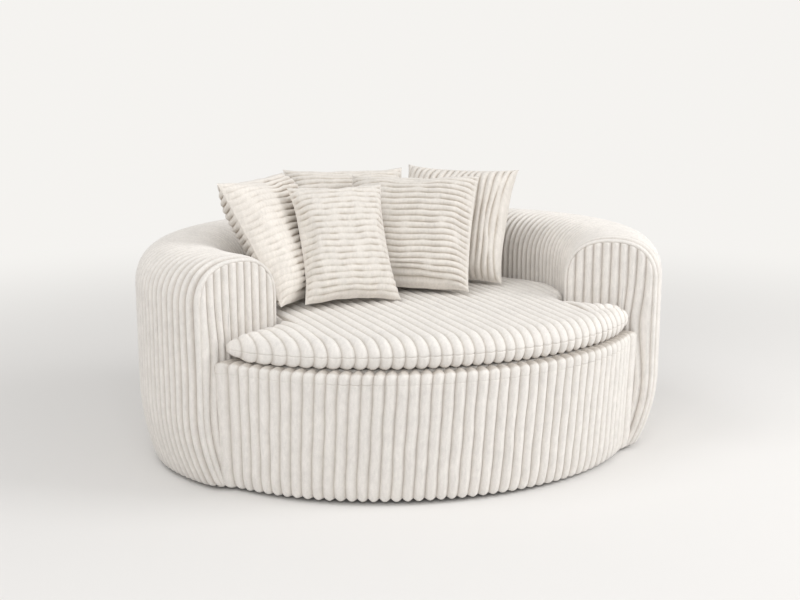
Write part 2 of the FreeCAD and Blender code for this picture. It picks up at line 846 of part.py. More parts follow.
former_limit = former_end_angle - arm_end_angle
former_angles = spread(former_limit, 180.0 - former_limit, former_count - 1)
for number, angle in enumerate(former_angles, 1):
    save(former(angle), "wrap_former_" + str(number))
save(crest_rail(former_angles[0], former_angles[-1]), "crest_rail")
save(skirt(), "front_skirt")
save(deck_ring(), "deck_ring")
post_angles = {"front_left": 225.0, "front_right": 315.0, "back_left": 130.0, "back_right": 50.0}
for name, angle in post_angles.items():
    save(post(angle), "post_" + name)
save(joist(), "joist")
joist_bottom = ring_bottom - joist_height
save(upright_box(0.0, 0.0, post_size, post_size, board_top, joist_bottom), "post_centre")
for number in range(strap_count):
    save(strap(number, True), "strap_long_" + str(number + 1))
    save(strap(number, False), "strap_cross_" + str(number + 1))

wrap_parts = spread(arm_end, far_arm_end, 3)
for name, start, end in zip(("right_arm", "back", "left_arm"), wrap_parts, wrap_parts[1:]):
    foam, cover = wrap_foam(start, end), wrap_cover(start, end)
    if name != "back":
        side = 1.0 if name == "right_arm" else -1.0
        recess = arm_end_prism(side, fit_gap, skin_depth + fit_gap)
        foam, cover = foam.cut(recess), cover.cut(recess)
        save(arm_panel(side), name + "_panel")
    save(foam, name + "_foam")
    save(cover, name + "_cover")
save(front_foam(), "front_foam")
save(front_cover(), "front_cover")
save(deck_sheet(skirt_inset, deck_foam_bottom, deck_foam_top), "deck_foam")
cover_inset = base_shoulder_depth + skin_depth + fit_gap
save(deck_sheet(cover_inset, deck_foam_top, deck_height), "deck_cover")

save(seat_core(0.0), "seat_cushion_core")
save(seat_cushion().cut(seat_core(fit_gap)), "seat_cushion_cover")
for name, values in pillow_shares.items():
    cover, filling = pillow_parts(values)
    save(cover, "pillow_" + name + "_cover")
    save(filling, "pillow_" + name + "_filling")
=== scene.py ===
import json
import math

import bpy
import numpy as np
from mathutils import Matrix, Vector


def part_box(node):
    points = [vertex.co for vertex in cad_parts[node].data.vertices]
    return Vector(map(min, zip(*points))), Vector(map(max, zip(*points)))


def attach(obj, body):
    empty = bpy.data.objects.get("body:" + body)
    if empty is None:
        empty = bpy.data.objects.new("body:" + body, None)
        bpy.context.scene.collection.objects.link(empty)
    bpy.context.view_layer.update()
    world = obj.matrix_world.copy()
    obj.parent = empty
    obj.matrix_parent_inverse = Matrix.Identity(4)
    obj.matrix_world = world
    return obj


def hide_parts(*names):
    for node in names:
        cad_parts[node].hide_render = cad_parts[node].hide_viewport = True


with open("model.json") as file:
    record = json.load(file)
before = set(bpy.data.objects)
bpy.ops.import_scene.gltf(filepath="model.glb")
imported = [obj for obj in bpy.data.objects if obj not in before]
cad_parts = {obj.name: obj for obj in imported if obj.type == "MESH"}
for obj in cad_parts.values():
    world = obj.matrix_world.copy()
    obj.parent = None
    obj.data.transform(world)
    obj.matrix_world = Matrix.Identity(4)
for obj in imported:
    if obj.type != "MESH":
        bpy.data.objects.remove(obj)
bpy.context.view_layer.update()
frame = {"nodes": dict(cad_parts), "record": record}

# An oval lounge chair in wide-wale corduroy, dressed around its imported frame.
# Lengths are in metres and angles in radians unless a name says otherwise.

# The chair's outside sizes, as its pieces have them
CHAIR_HALF_WIDTH = 0.750
BACK_REACH = 0.630
ARM_HEIGHT = 0.615
ARCH_RISE = 0.125
ARCH_POWER = 2.35
WRAP_HALF = 0.135
WRAP_SHOULDER = ARM_HEIGHT - ARCH_RISE
ARM_END = math.radians(27.0)
BASE_HALF_WIDTH = 0.680
BASE_FRONT_REACH = 0.574
DECK_HEIGHT = 0.353
HEM_HEIGHT = 0.008
HEM_ROUND = 0.012

# The corduroy: the pitch of its wales and the depth of its valleys on each piece
WRAP_PITCH = 0.0215
DRUM_PITCH = 0.030
SEAT_PITCH = 0.0284
PANEL_PITCH = 0.024
PILLOW_PITCH = 0.0188
WALE_DEPTH = 0.0092
WRAP_DEPTH = 0.0102
SEAT_DEPTH = 0.0065
PILLOW_DEPTH = 0.0050
WALE_ROUND = 0.9
SEAM_WIDTH = 0.0014
SEAM_DEPTH = 0.0024

# How soon the painted shade in a valley darkens on the way down from its wales: a power of its
# depth
WRAP_SHADE = 0.5
PILLOW_SHADE = 0.7

# Unevenness: its size, how fast it runs along both parameters, and its seed
WRAP_WANDER = (0.0024, 7.0, 9.0, 1.0)
WRAP_SWELL = (0.12, 23.0, 5.0, 4.0)
DRUM_WANDER = (0.0014, 9.0, 7.0, 2.0)
DRUM_SWELL = (0.12, 21.0, 5.0, 6.0)
STITCH_SWELL = (0.4, 5.0, 0.0, 3.0)
PANEL_WANDER = (0.0012, 30.0, 8.0, 5.0)
SEAT_WANDER = (0.0022, 6.0, 8.0, 2.0)
PILLOW_SWELL = (0.5, 4.0, 4.0, 7.0)
PILLOW_WANDER = (0.0022, 2.3, 2.1, 3.0)
STITCH_EVEN = 0.6
WANDER_FADE = 0.05
# Its three sines: their rates along both parameters, their share of the seed, their start
SWAY_SINES = ((2.1, 1.7, 1.0, 0.0), (-3.3, 2.9, 2.0, 1.3), (5.9, 1.1, 3.0, 0.4))

# The wrap: padding under its skin, tuck at the foot, rounded ends and their wide wale
SKIN = 0.034
DECK_LAP = 0.020
TUCK_DEPTH = 0.040
TUCK_HEIGHT = 0.215
END_TUCK = 0.014
END_TUCK_LENGTH = 0.30
NOSE_DEPTH = 0.017
NOSE_LENGTH = 0.050
BORDER_WIDTH = 0.024
CAP_TURN = 0.07

# The drum: its foot, shoulder, lean, seam, flared ends, and painted shade in the crevice under the
# cushion
BASE_TUCK_DEPTH = 0.008
BASE_TUCK_HEIGHT = 0.060
SHOULDER_DEPTH = 0.017
SHOULDER_HEIGHT = 0.020
DRUM_TAPER = 0.012
DRUM_SLANT = 0.020
SLANT_FADE = 0.25
DRUM_SEAM = DECK_HEIGHT - 0.032
DRUM_LAP = 0.010
DRUM_FLARE = 0.018
FLARE_LENGTH = 0.050
CREVICE_SHADE_DEPTH = 0.009
CREVICE_SHADE_FADE = 0.7 * CREVICE_SHADE_DEPTH
DRUM_TOP_REACH = 0.09
DRUM_TOP_THICKNESS = 0.012
DRUM_WAIST = 0.2
# Insets and heights of the drum's inner skin
DRUM_LINING = (
    (DRUM_TOP_REACH, DECK_HEIGHT - DRUM_TOP_THICKNESS),
    (SKIN, DECK_HEIGHT - DECK_LAP),
    (SKIN, DRUM_WAIST),
    (SKIN + BASE_TUCK_DEPTH, HEM_HEIGHT),
)

# An arm's panel: its lap under the wrap, its rounded edge, its foot inside the drum
PANEL_LAP = 0.003
PANEL_HALF = WRAP_HALF - NOSE_DEPTH + PANEL_LAP
PANEL_RISE = ARCH_RISE - NOSE_DEPTH + PANEL_LAP
PANEL_ROUND = 0.010
PANEL_SINK = 0.001
PANEL_EDGE_SINK = 0.002
PANEL_THICKNESS = 0.025
PANEL_IN_DRUM = 0.03
PANEL_BELOW_DECK = 0.05
# The pinch in it beside the seat's tip
PINCH_HEIGHT = DECK_HEIGHT + 0.012
PINCH_TALL = 0.085
PINCH_WIDE = 0.055
PINCH_PULL = 0.020
PINCH_SINK = 0.009

# The padded deck under the cushion
DECK_GAP = 0.001
DECK_INSET = SHOULDER_DEPTH + 0.018
DECK_DIP = 0.008
DECK_PAD = 0.030
DECK_HUB = 0.02

# The seat cushion
SEAT_HALF_WIDTH = 0.668
SEAT_FRONT_REACH = 0.559
SEAT_BOTTOM = 0.3537
SEAT_THICKNESS = 0.084
SEAT_MIDDLE = SEAT_BOTTOM + SEAT_THICKNESS / 2
SEAT_CROWN = 0.013
SEAT_DROOP = 0.026
DROOP_POWER = 2.5
SEAT_GAP = 0.004
ROUND_HALF_WIDTH = CHAIR_HALF_WIDTH - 2.0 * WRAP_HALF - SEAT_GAP
ROUND_REACH = BACK_REACH - 2.0 * WRAP_HALF - SEAT_GAP
SEAT_TURN = math.radians(10.0)
SEAT_COS = math.cos(SEAT_TURN)
SEAT_SIN = math.sin(SEAT_TURN)
# Its rounded ends, and the share of its length or thickness that they may take
SEAT_NOSE = 0.060
EAR_NOSE = 0.034
BACK_NOSE = 0.055
UNDER_NOSE = 0.021
NOSE_LIMIT = 0.48
SEAT_SEAM = 0.42
SEAM_TURN = 0.035
SEAM_TURNS = (-0.06, -0.03, 0.03, 0.06)
# Its valleys get shallower from here to the tips
CALM_START = 0.35
CALM_REACH = 0.25
CALM_SHARE = 0.5
# Painted shade: its underside and seam darken
SEAM_SHADE = 0.9
UNDER_TURN = 0.9
UNDER_FADE = 0.5
# Its ears and shoulders
EAR_GAP = 0.007
EAR_GROWTH = 0.05
EAR_LEAST = 0.2
EAR_TAPER = 2.6
TIP_LENGTH = 0.003
SHOULDER_LEAST = 0.05
SPLIT_MARGIN = 0.001
HALVINGS = 40

# The pillows: turn, lean and roll in degrees, then width, height and thickness, whether
# the wales stand upright, and the share of their depth at the left and the right edge.
# Each one's place is its node's.
PILLOWS = {
    "left": (50.0, 31.3, -1.3, 0.378, 0.373, 0.130, False, (0.45, 2.2)),
    "back": (-8.6, 33.6, 0.0, 0.363, 0.371, 0.118, False, (1.0, 1.0)),
    "small": (3.0, 31.2, -0.8, 0.274, 0.348, 0.110, False, (0.8, 0.8)),
    "centre": (-28.8, 36.1, 1.0, 0.379, 0.370, 0.144, False, (1.0, 1.25)),
    "right": (-37.0, 28.6, 0.0, 0.347, 0.362, 0.132, True, (1.0, 1.0)),
}
# The change from one depth to the other on a pillow's face: its middle and its two slopes
CHANGE = (0.9, 1.6, -0.6)
BACK_CHANGE = 0.5
# Its valleys fade out beside its edge, and their painted shade is less dark there
EDGE_FADE = 0.03
EDGE_SHADE = 0.4
# How far the front and the back read their unevenness from the middle
FACE_SHIFT = 0.25
# A pillow before it is stuffed, and its stuffing
QUILT = 36
QUILT_BUNCH = 0.82
QUILT_PULL = 0.025
QUILT_POWER = 0.6
QUILT_THICKNESS = 0.8
STUFFING_FRAMES = 18
STUFFING_PRESSURE = 4.0
STUFFING_LIMIT = 0.014
SMOOTHING_ROUNDS = 6
CLOTH_QUALITY = 5
CLOTH_MASS = 0.3
CLOTH_STIFFNESS = 30.0
CLOTH_SHEAR = 8.0
CLOTH_BENDING = 1.0
# Corners of a square cell, in the order that each sewn face takes them
FRONT_ORDER = (0, 1, 2, 3)
QUILT_BACK_ORDER = (3, 2, 1, 0)
PILLOW_BACK_ORDER = (0, 3, 2, 1)

# Points along the lines of the pieces, and extra ones beside a seam in seam widths
WRAP_FINE = 4000
DRUM_FINE = 3000
WALE_STEPS = 10
HEM_POINTS = 8
WALL_POINTS = 40
ARCH_POINTS = 80
INNER_POINTS = 20
WRAP_POINTS = 96
LINING_ARCH_POINTS = 12
LINING_POINTS = 14
SHOULDER_POINTS = 14
FRONT_POINTS = 110
PANEL_POINTS = 90
DECK_RINGS = 14
DECK_POINTS = 96
SEAT_END_POINTS = 25
SEAT_TOP_POINTS = 34
SEAT_UNDER_POINTS = 8
PILLOW_POINTS = 81
SEAM_POINTS = (-1.8, -0.9, 0.0, 0.9, 1.8)
# The least length that anything is divided by
TINY = 1e-9

# Corduroys: the crests' colour, the valleys' colour (painted shade) and the strength of the
# streaks
CORDUROYS = {
    "ivory_corduroy": ((0.825, 0.795, 0.758, 1.0), (0.58, 0.535, 0.485, 1.0), 0.22),
    "pillow_corduroy": ((0.765, 0.727, 0.678, 1.0), (0.50, 0.445, 0.38, 1.0), 0.26),
    # The brushed pillow's very dark, warm valleys are painted shade between its deep wales
    "brushed_corduroy": ((0.82, 0.775, 0.72, 1.0), (0.30, 0.235, 0.17, 1.0), 0.28),
}
# Their pile: brushed patches, fine fibres, streaks along the height, and its sheen
PILE = {"Brushed": 0.22, "Patch Scale": 24.0, "Fibre Scale": 520.0}
PILE_SHEEN = {"Sheen Weight": 0.25, "Sheen Roughness": 0.5, "Specular IOR Level": 0.2}
PILE_BUMP = (0.0006, 0.7)
VALLEY_SHADE_POWER = 2.5
PATCH_NOISE = (4.0, 0.6)
FIBRE_NOISE = (2.0, 0.55)
FIBRE_SHARE = 0.22
STREAK_STRETCH = (1.0, 1.0, 0.35)
STREAK_SCALE = 150.0
STREAK_NOISE = (2.0, 0.5)
PILE_ROUGHNESS = (0.12, 0.82)

# Woven cloths: the threads' light and dark colours and the weave's scale
CLOTHS = {
    "grey_lining": ((0.62, 0.60, 0.57, 1.0), (0.48, 0.46, 0.43, 1.0), 900.0),
    "dust_cloth": ((0.05, 0.05, 0.05, 1.0), (0.02, 0.02, 0.02, 1.0), 900.0),
    "webbing": ((0.42, 0.36, 0.27, 1.0), (0.22, 0.18, 0.13, 1.0), 500.0),
}
CLOTH_ROUGHNESS = 0.85
CLOTH_BUMP = (0.0004, 0.6)

# Timbers: light and dark grain, and how the grain is squeezed along each axis
TIMBERS = {
    "birch_plywood": ((0.66, 0.50, 0.33, 1.0), (0.50, 0.35, 0.21, 1.0), (1.0, 6.0, 3.0)),
    "sawn_pine": ((0.70, 0.52, 0.32, 1.0), (0.55, 0.37, 0.20, 1.0), (5.0, 5.0, 0.6)),
}
GRAIN_SCALE = 14.0
GRAIN_NOISE = (6.0, 0.65)
TIMBER_ROUGHNESS = (0.2, 0.5)
TIMBER_BUMP = (0.0005, 0.5)

# Hard finishes: colour, roughness, metal share and scale of the grain
HARD = {
    "black_glide": ((0.03, 0.03, 0.03, 1.0), 0.45, 0.0, 300.0),
    "zinc_steel": ((0.62, 0.62, 0.60, 1.0), 0.3, 1.0, 200.0),
}
HARD_NOISE = (3.0, 0.55)
HARD_DARKER = 0.8
HARD_UNEVEN = 0.15
HARD_BUMP = (0.0002, 0.3)

# The stage: floor, backdrop, and the range over which the floor fades into it
FLOOR_REACH = 30.0
FLOOR_LOOK = {
    "Base Color": (0.80, 0.79, 0.778, 1.0), "Roughness": 0.9, "Specular IOR Level": 0.1,
}
BACKDROP = (0.913, 0.898, 0.872, 1.0)
FLOOR_FADE = {"From Min": 0.8, "From Max": 3.8, "To Min": 0.02, "To Max": 1.0}
# The light: the world's, then each lamp's place, size and power in watts
WORLD_LIGHT = {"Color": (1.0, 0.985, 0.965, 1.0), "Strength": 0.53}
LAMPS = {
    "key": ((3.2, -1.6, 2.3), 1.8, 76.0),
    "front": ((-1.4, -3.6, 2.6), 2.2, 44.0),
    "left": ((-2.4, -0.6, 4.2), 2.4, 48.0),
}
# The camera, fitted to the photograph: distances in its pixels where a name says so
AIM = (0.0, 0.0, 0.3)
VIEW_TURN = math.radians(-17.2)
VIEW_RISE = math.radians(13.4)
VIEW_DISTANCE = 4.0
FRAME_PIXELS = 800.0
FOCAL_PIXELS = 1389.0
SHIFT_PIXELS = (-2.8, 39.7)
SENSOR_WIDTH_MM = 36.0


def oval_radius(half_width, reach, angle):
    """Distance to an oval's edge: 1 / sqrt((cos a / half width)^2 + (sin a / reach)^2)."""
    return 1.0 / np.hypot(np.cos(angle) / half_width, np.sin(angle) / reach)


def wrap_edge(angle):
    """Distance from the middle to the wrap's outside: the chair's oval."""
    return oval_radius(CHAIR_HALF_WIDTH, BACK_REACH, angle)


def base_edge(angle):
    """Distance from the middle to the drum's outside: a smaller oval."""
    return oval_radius(BASE_HALF_WIDTH, BASE_FRONT_REACH, angle)


def around(radius, angle, height):
    """A grid of points (radius * cos angle, radius * sin angle, height)."""
    radius, angle, height = np.broadcast_arrays(radius, angle, height)
    return np.stack([radius * np.cos(angle), radius * np.sin(angle), height], axis=2)


def run_along(x, y):
    """Length along a line up to each of its points: the sum of its steps."""
    return np.append(0.0, np.cumsum(np.hypot(np.diff(x), np.diff(y))))


def near_end(way, length, reach):
    """1 at both ends of a line, falling evenly to 0 over the reach: 1 - distance / reach."""
    return np.clip(1.0 - np.minimum(way, length - way) / reach, 0.0, 1.0)


def wale_rows(lows):
    """Places across a row of wales and the pile's relief there.

    Between two valleys the place is half way between an even step t and
    (1 - cos(pi t)) / 2, and the relief is sin(pi * place) ^ 0.9: a round wale with a
    narrow valley each side.
    """
    lows = np.asarray(lows, float)
    step = np.arange(WALE_STEPS) / WALE_STEPS
    share = (step + (1.0 - np.cos(np.pi * step)) / 2.0) / 2.0
    places = lows[:-1, None] + np.diff(lows)[:, None] * share
    relief = np.broadcast_to(np.sin(np.pi * share) ** WALE_ROUND, places.shape)
    return np.append(places.ravel(), lows[-1]), np.append(relief.ravel(), 0.0)


def normals_of(points):
    """Unit normals of a grid of points: the cross product of its two slopes."""
    across = np.gradient(points, axis=0)
    along = np.gradient(points, axis=1)
    normal = np.cross(across, along)
    return normal / np.maximum(np.linalg.norm(normal, axis=2, keepdims=True), TINY)


def sway(kind, a, b, more=0.0):
    """A slow unevenness: its size * the mean of three sines of both parameters."""
    size, rate_a, rate_b, seed = kind
    a, b, seed = a * rate_a, b * rate_b, seed + more
    waves = (on_a * a + on_b * b + share * seed + start for on_a, on_b, share, start in SWAY_SINES)
    return size * (sum(np.sin(wave) for wave in waves) / len(SWAY_SINES))


def loop_faces(rows, columns):
    """Quads between rows of closed loops, wound so that rows x columns gives the outside."""
    index = np.arange(rows * columns).reshape(rows, columns)
    ahead = np.roll(index, -1, axis=1)
    quads = np.stack([index[:-1], index[1:], ahead[1:], ahead[:-1]], axis=-1)
    return quads.reshape(-1, 4)


def new_object(name, data):
    """A new object in the scene for a mesh, a lamp or a camera."""
    obj = bpy.data.objects.new(name, data)
    bpy.context.scene.collection.objects.link(obj)
    return obj


def make_mesh(name, points, faces, valley):
    """A smooth mesh object from whole arrays, with the share of painted valley shade at each
    point.
    """
    mesh = bpy.data.meshes.new(name)
    mesh.from_pydata(points.reshape(-1, 3).tolist(), [], [list(face) for face in faces])
    layer = mesh.attributes.new("valley", "FLOAT", "POINT")
    layer.data.foreach_set("value", np.clip(valley, 0.0, 1.0).astype(np.float32).ravel())
    mesh.validate()
    mesh.shade_smooth()
    return new_object(name, mesh)


def closed_tube(name, points, valley, side=1.0):
    """A grid whose rows are closed loops, with a flat cap at its first and last row.

    On the left side, where side is -1, the rows are turned round to face outwards.
    """
    if side < 0:
        points, valley = points[::-1], valley[::-1]
    rows, columns = points.shape[:2]
    faces = [list(face) for face in loop_faces(rows, columns)]
    faces.append(list(range(columns)))
    faces.append(list(range((rows - 1) * columns, rows * columns))[::-1])
    return make_mesh(name, points, faces, valley)


def lined(skin, shade, lining):
    """A skin and its lining as rows of closed loops: the lining gets the full painted valley
    shade.
    """
    valley = np.concatenate([shade, np.ones(lining.shape[:2])], axis=1)
    return np.concatenate([skin, lining], axis=1), valley


def evenly_along(x, y, count, seam=None):
    """The same line with points at even steps of its own length, and a few at a seam."""
    run = run_along(x, y)
    wanted = np.linspace(0.0, run[-1], count)
    if seam is not None:
        near = np.interp(seam, y, run) + SEAM_WIDTH * np.array(SEAM_POINTS)
        wanted = np.sort(np.append(wanted, near))
    return np.interp(wanted, run, x), np.interp(wanted, run, y)


def hem():
    """Insets and heights of the hem, where a wall turns under on a quarter circle."""
    turn = np.linspace(math.pi / 2, 0.0, HEM_POINTS)
    return HEM_ROUND * (1.0 - np.cos(turn)), HEM_HEIGHT + HEM_ROUND * (1.0 - np.sin(turn))


def tucked(z, height):
    """Share by which a wall is drawn in near the floor: (1 - h)^2 over the height."""
    return np.clip(1.0 - (z - HEM_HEIGHT) / height, 0.0, 1.0) ** 2


def wrap_outline():
    """Offsets and heights of the wrap's skin: outer wall, arch and inner wall.

    The arch is half an oval, (offset / half width)^p + (rise / full rise)^p = 1, a little
    fuller than an ellipse.
    """
    hem_in, hem_z = hem()
    wall_z = np.linspace(HEM_HEIGHT + HEM_ROUND, WRAP_SHOULDER, WALL_POINTS)[1:]
    arch = np.linspace(0.0, math.pi, ARCH_POINTS)[1:-1]
    arch_off = np.sign(np.cos(arch)) * np.abs(np.cos(arch)) ** (2.0 / ARCH_POWER)
    arch_rise = np.sin(arch) ** (2.0 / ARCH_POWER)
    inner_z = np.linspace(WRAP_SHOULDER, DECK_HEIGHT - DECK_LAP, INNER_POINTS)
    walls = np.full(wall_z.size, WRAP_HALF), np.full(inner_z.size, -WRAP_HALF)
    off = np.concatenate([WRAP_HALF - hem_in, walls[0], WRAP_HALF * arch_off, walls[1]])
    z = np.concatenate([hem_z, wall_z, WRAP_SHOULDER + ARCH_RISE * arch_rise, inner_z])
    return evenly_along(off, z, WRAP_POINTS)


def wrap_lining():
    """Offsets and heights of the wrap's inner skin: half an ellipse inside the arch."""
    half, rise = WRAP_HALF - SKIN, ARCH_RISE - SKIN
    arch = np.linspace(math.pi, 0.0, LINING_ARCH_POINTS)
    foot = half - TUCK_DEPTH - END_TUCK
    off = np.concatenate([[-half], half * np.cos(arch), [half, foot]])
    top = WRAP_SHOULDER + rise * np.sin(arch)
    z = np.concatenate([[DECK_HEIGHT - DECK_LAP], top, [TUCK_HEIGHT, HEM_HEIGHT]])
    return evenly_along(off, z, LINING_POINTS)


def outward(off, z):
    """Outward direction along a section: its slope turned by a quarter, at unit length."""
    slope_off, slope_z = np.gradient(off), np.gradient(z)
    length = np.hypot(slope_off, slope_z)
    return slope_z / length, -slope_off / length


def tuck_depth(way, length):
    """The wrap's tuck, deeper towards an arm's end: depth + more * n^2 (3 - 2 n)."""
    near = near_end(way, length, END_TUCK_LENGTH)
    return TUCK_DEPTH + END_TUCK * near**2 * (3.0 - 2.0 * near)


def nose_inset(way, length):
    """How far the wrap is rounded in near an arm's end: a quarter of an ellipse."""
    return NOSE_DEPTH * (1.0 - np.sqrt(1.0 - near_end(way, length, NOSE_LENGTH) ** 2))


def wrap_angles():
    """Plan angles, the length along the wrap and its rounded noses, and their insets."""
    angle = np.linspace(-ARM_END, math.pi + ARM_END, WRAP_FINE)
    radius = wrap_edge(angle) - WRAP_HALF
    way = run_along(radius * np.cos(angle), radius * np.sin(angle))
    inset = nose_inset(way, way[-1])
    return angle, run_along(way, inset), inset


def wrap_valleys(length):
    """Where the wrap's valleys lie along its length: even, with a wide wale at each end."""
    count = round((length - 2.0 * BORDER_WIDTH) / WRAP_PITCH)
    middle = np.linspace(BORDER_WIDTH, length - BORDER_WIDTH, count + 1)
    return np.concatenate([[0.0], middle, [length]])


def wrap_piece(name, part):
    """One cover of the wrap, with its padding: wales over an arch, carried round an oval.

    Point = middle line at the angle + section offset along the radius - tuck at the foot,
    moved in by the nose's rounding and by the wale's relief along the surface's normal.
    """
    angle, run, inset = wrap_angles()
    length = run[-1]
    valleys = wrap_valleys(length)
    third = (valleys.size - 1) // 3
    first = part * third
    last = valleys.size - 1 if part == 2 else first + third
    along, relief = wale_rows(valleys[first : last + 1])
    off, z = wrap_outline()
    way, place = along[:, None], np.arange(off.size)[None, :] / off.size
    wander = sway(WRAP_WANDER, way, place) * (1.0 - near_end(way, length, WANDER_FADE))
    run_here = np.clip(way + wander, 0.0, length)
    turn = np.interp(run_here, run, angle)
    drawn = np.interp(run_here, run, inset)
    out_off, out_z = outward(off, z)
    tuck = tuck_depth(run_here, length) * tucked(z, TUCK_HEIGHT) * (off > 0.0)
    radius = wrap_edge(turn) - WRAP_HALF + off - out_off * drawn - tuck
    points = around(radius, turn, z - out_z * drawn)
    low = np.broadcast_to(1.0 - relief[:, None], turn.shape)
    depth = WRAP_DEPTH * low * (1.0 + sway(WRAP_SWELL, way, place))
    points = points - normals_of(points) * depth[..., None]
    inner_off, inner_z = wrap_lining()
    kept = np.clip(turn[:, :1], CAP_TURN - ARM_END, math.pi + ARM_END - CAP_TURN)
    inside = around(wrap_edge(kept) - WRAP_HALF + inner_off, kept, inner_z)
    # Painted shade: the wrap's valleys darken with their depth, and its lining is fully shaded
    return closed_tube(name, *lined(points, low**WRAP_SHADE, inside))


def front_profile():
    """Insets and heights of the drum's skin, from the hem up and in under the cushion.

    The shoulder is a quarter of an ellipse, and the wall leans in evenly to the floor.
    """
    hem_in, hem_z = hem()
    wall_top = DECK_HEIGHT - SHOULDER_HEIGHT
    wall_z = np.linspace(HEM_HEIGHT + HEM_ROUND, wall_top, WALL_POINTS)[1:-1]
    turn = np.linspace(0.0, math.pi / 2, SHOULDER_POINTS)
    shoulder = SHOULDER_DEPTH * (1.0 - np.cos(turn))
    shoulder_z = DECK_HEIGHT - SHOULDER_HEIGHT * (1.0 - np.sin(turn))
    inset = np.concatenate([hem_in, np.zeros(wall_z.size), shoulder, [DRUM_TOP_REACH]])
    z = np.concatenate([hem_z, wall_z, shoulder_z, [DECK_HEIGHT]])
    tuck = BASE_TUCK_DEPTH * tucked(z, BASE_TUCK_HEIGHT)
    taper = DRUM_TAPER * (DECK_HEIGHT - z) / DECK_HEIGHT
    return evenly_along(inset + tuck + taper, z, FRONT_POINTS, DRUM_SEAM)


def front_piece():
    """The drum's front cover: wales round an oval, leaning a little, over the deck's edge.

    Point = oval at the angle less the profile's inset; the angle moves with the height by
    the lean, which fades out at both ends, and by a slow sway. Both ends flare outwards by
    flare * (1 - way / length)^2, so that the wales run on into the arm's panel.
    """
    start, end = math.pi + ARM_END - DRUM_LAP, 2.0 * math.pi - ARM_END + DRUM_LAP
    angle = np.linspace(start, end, DRUM_FINE)
    radius = base_edge(angle)
    run = run_along(radius * np.cos(angle), radius * np.sin(angle))
    length = run[-1]
    along, relief = wale_rows(np.linspace(0.0, length, round(length / DRUM_PITCH) + 1))
    inset, z = front_profile()
    way, place = along[:, None], z[None, :] / DECK_HEIGHT
    wander = sway(DRUM_WANDER, way, place) * (1.0 - near_end(way, length, WANDER_FADE))
    lean = DRUM_SLANT * (place - 0.5) * (1.0 - near_end(way, length, SLANT_FADE))
    turn = np.interp(np.clip(way + wander + lean, 0.0, length), run, angle)
    flare = DRUM_FLARE * near_end(way, length, FLARE_LENGTH) ** 2
    points = around(base_edge(turn) - inset + flare, turn, z)
    low = np.broadcast_to(1.0 - relief[:, None], turn.shape)
    seam = np.exp(-(((z - DRUM_SEAM) / SEAM_WIDTH) ** 2))
    seam = seam * (STITCH_EVEN + sway(STITCH_SWELL, way, 0.0))
    # Painted shade: the drum's top darkens where it turns in under the cushion
    crevice_shade = np.clip((z - DECK_HEIGHT + CREVICE_SHADE_DEPTH) / CREVICE_SHADE_FADE, 0.0, 1.0)
    depth = WALE_DEPTH * low * (1.0 + sway(DRUM_SWELL, way, place)) + SEAM_DEPTH * seam
    points = points - normals_of(points) * depth[..., None]
    inner, inner_z = np.array(DRUM_LINING).T
    inside = around(base_edge(turn[:, :1]) - inner - DRUM_TAPER, turn[:, :1], inner_z)
    # Painted shade: in the valleys, in the seam's crease and in the crevice under the cushion
    shade = np.maximum(low, np.maximum(seam, crevice_shade))
    return closed_tube("front_cover_cloth", *lined(points, shade, inside))


def panel_bulge(share, z):
    """How far the panel's face stands out: a quarter circle of its distance to the arch.

    That distance is half width * (1 - (offset^p + rise^p)^(1 / p)).
    """
    lift = np.maximum(0.0, z - WRAP_SHOULDER) / PANEL_RISE
    inward = 1.0 - (share**ARCH_POWER + lift**ARCH_POWER) ** (1.0 / ARCH_POWER)
    round_in = np.clip(inward * PANEL_HALF / PANEL_ROUND, 0.0, 1.0)
    return np.sqrt(1.0 - (1.0 - round_in) ** 2)


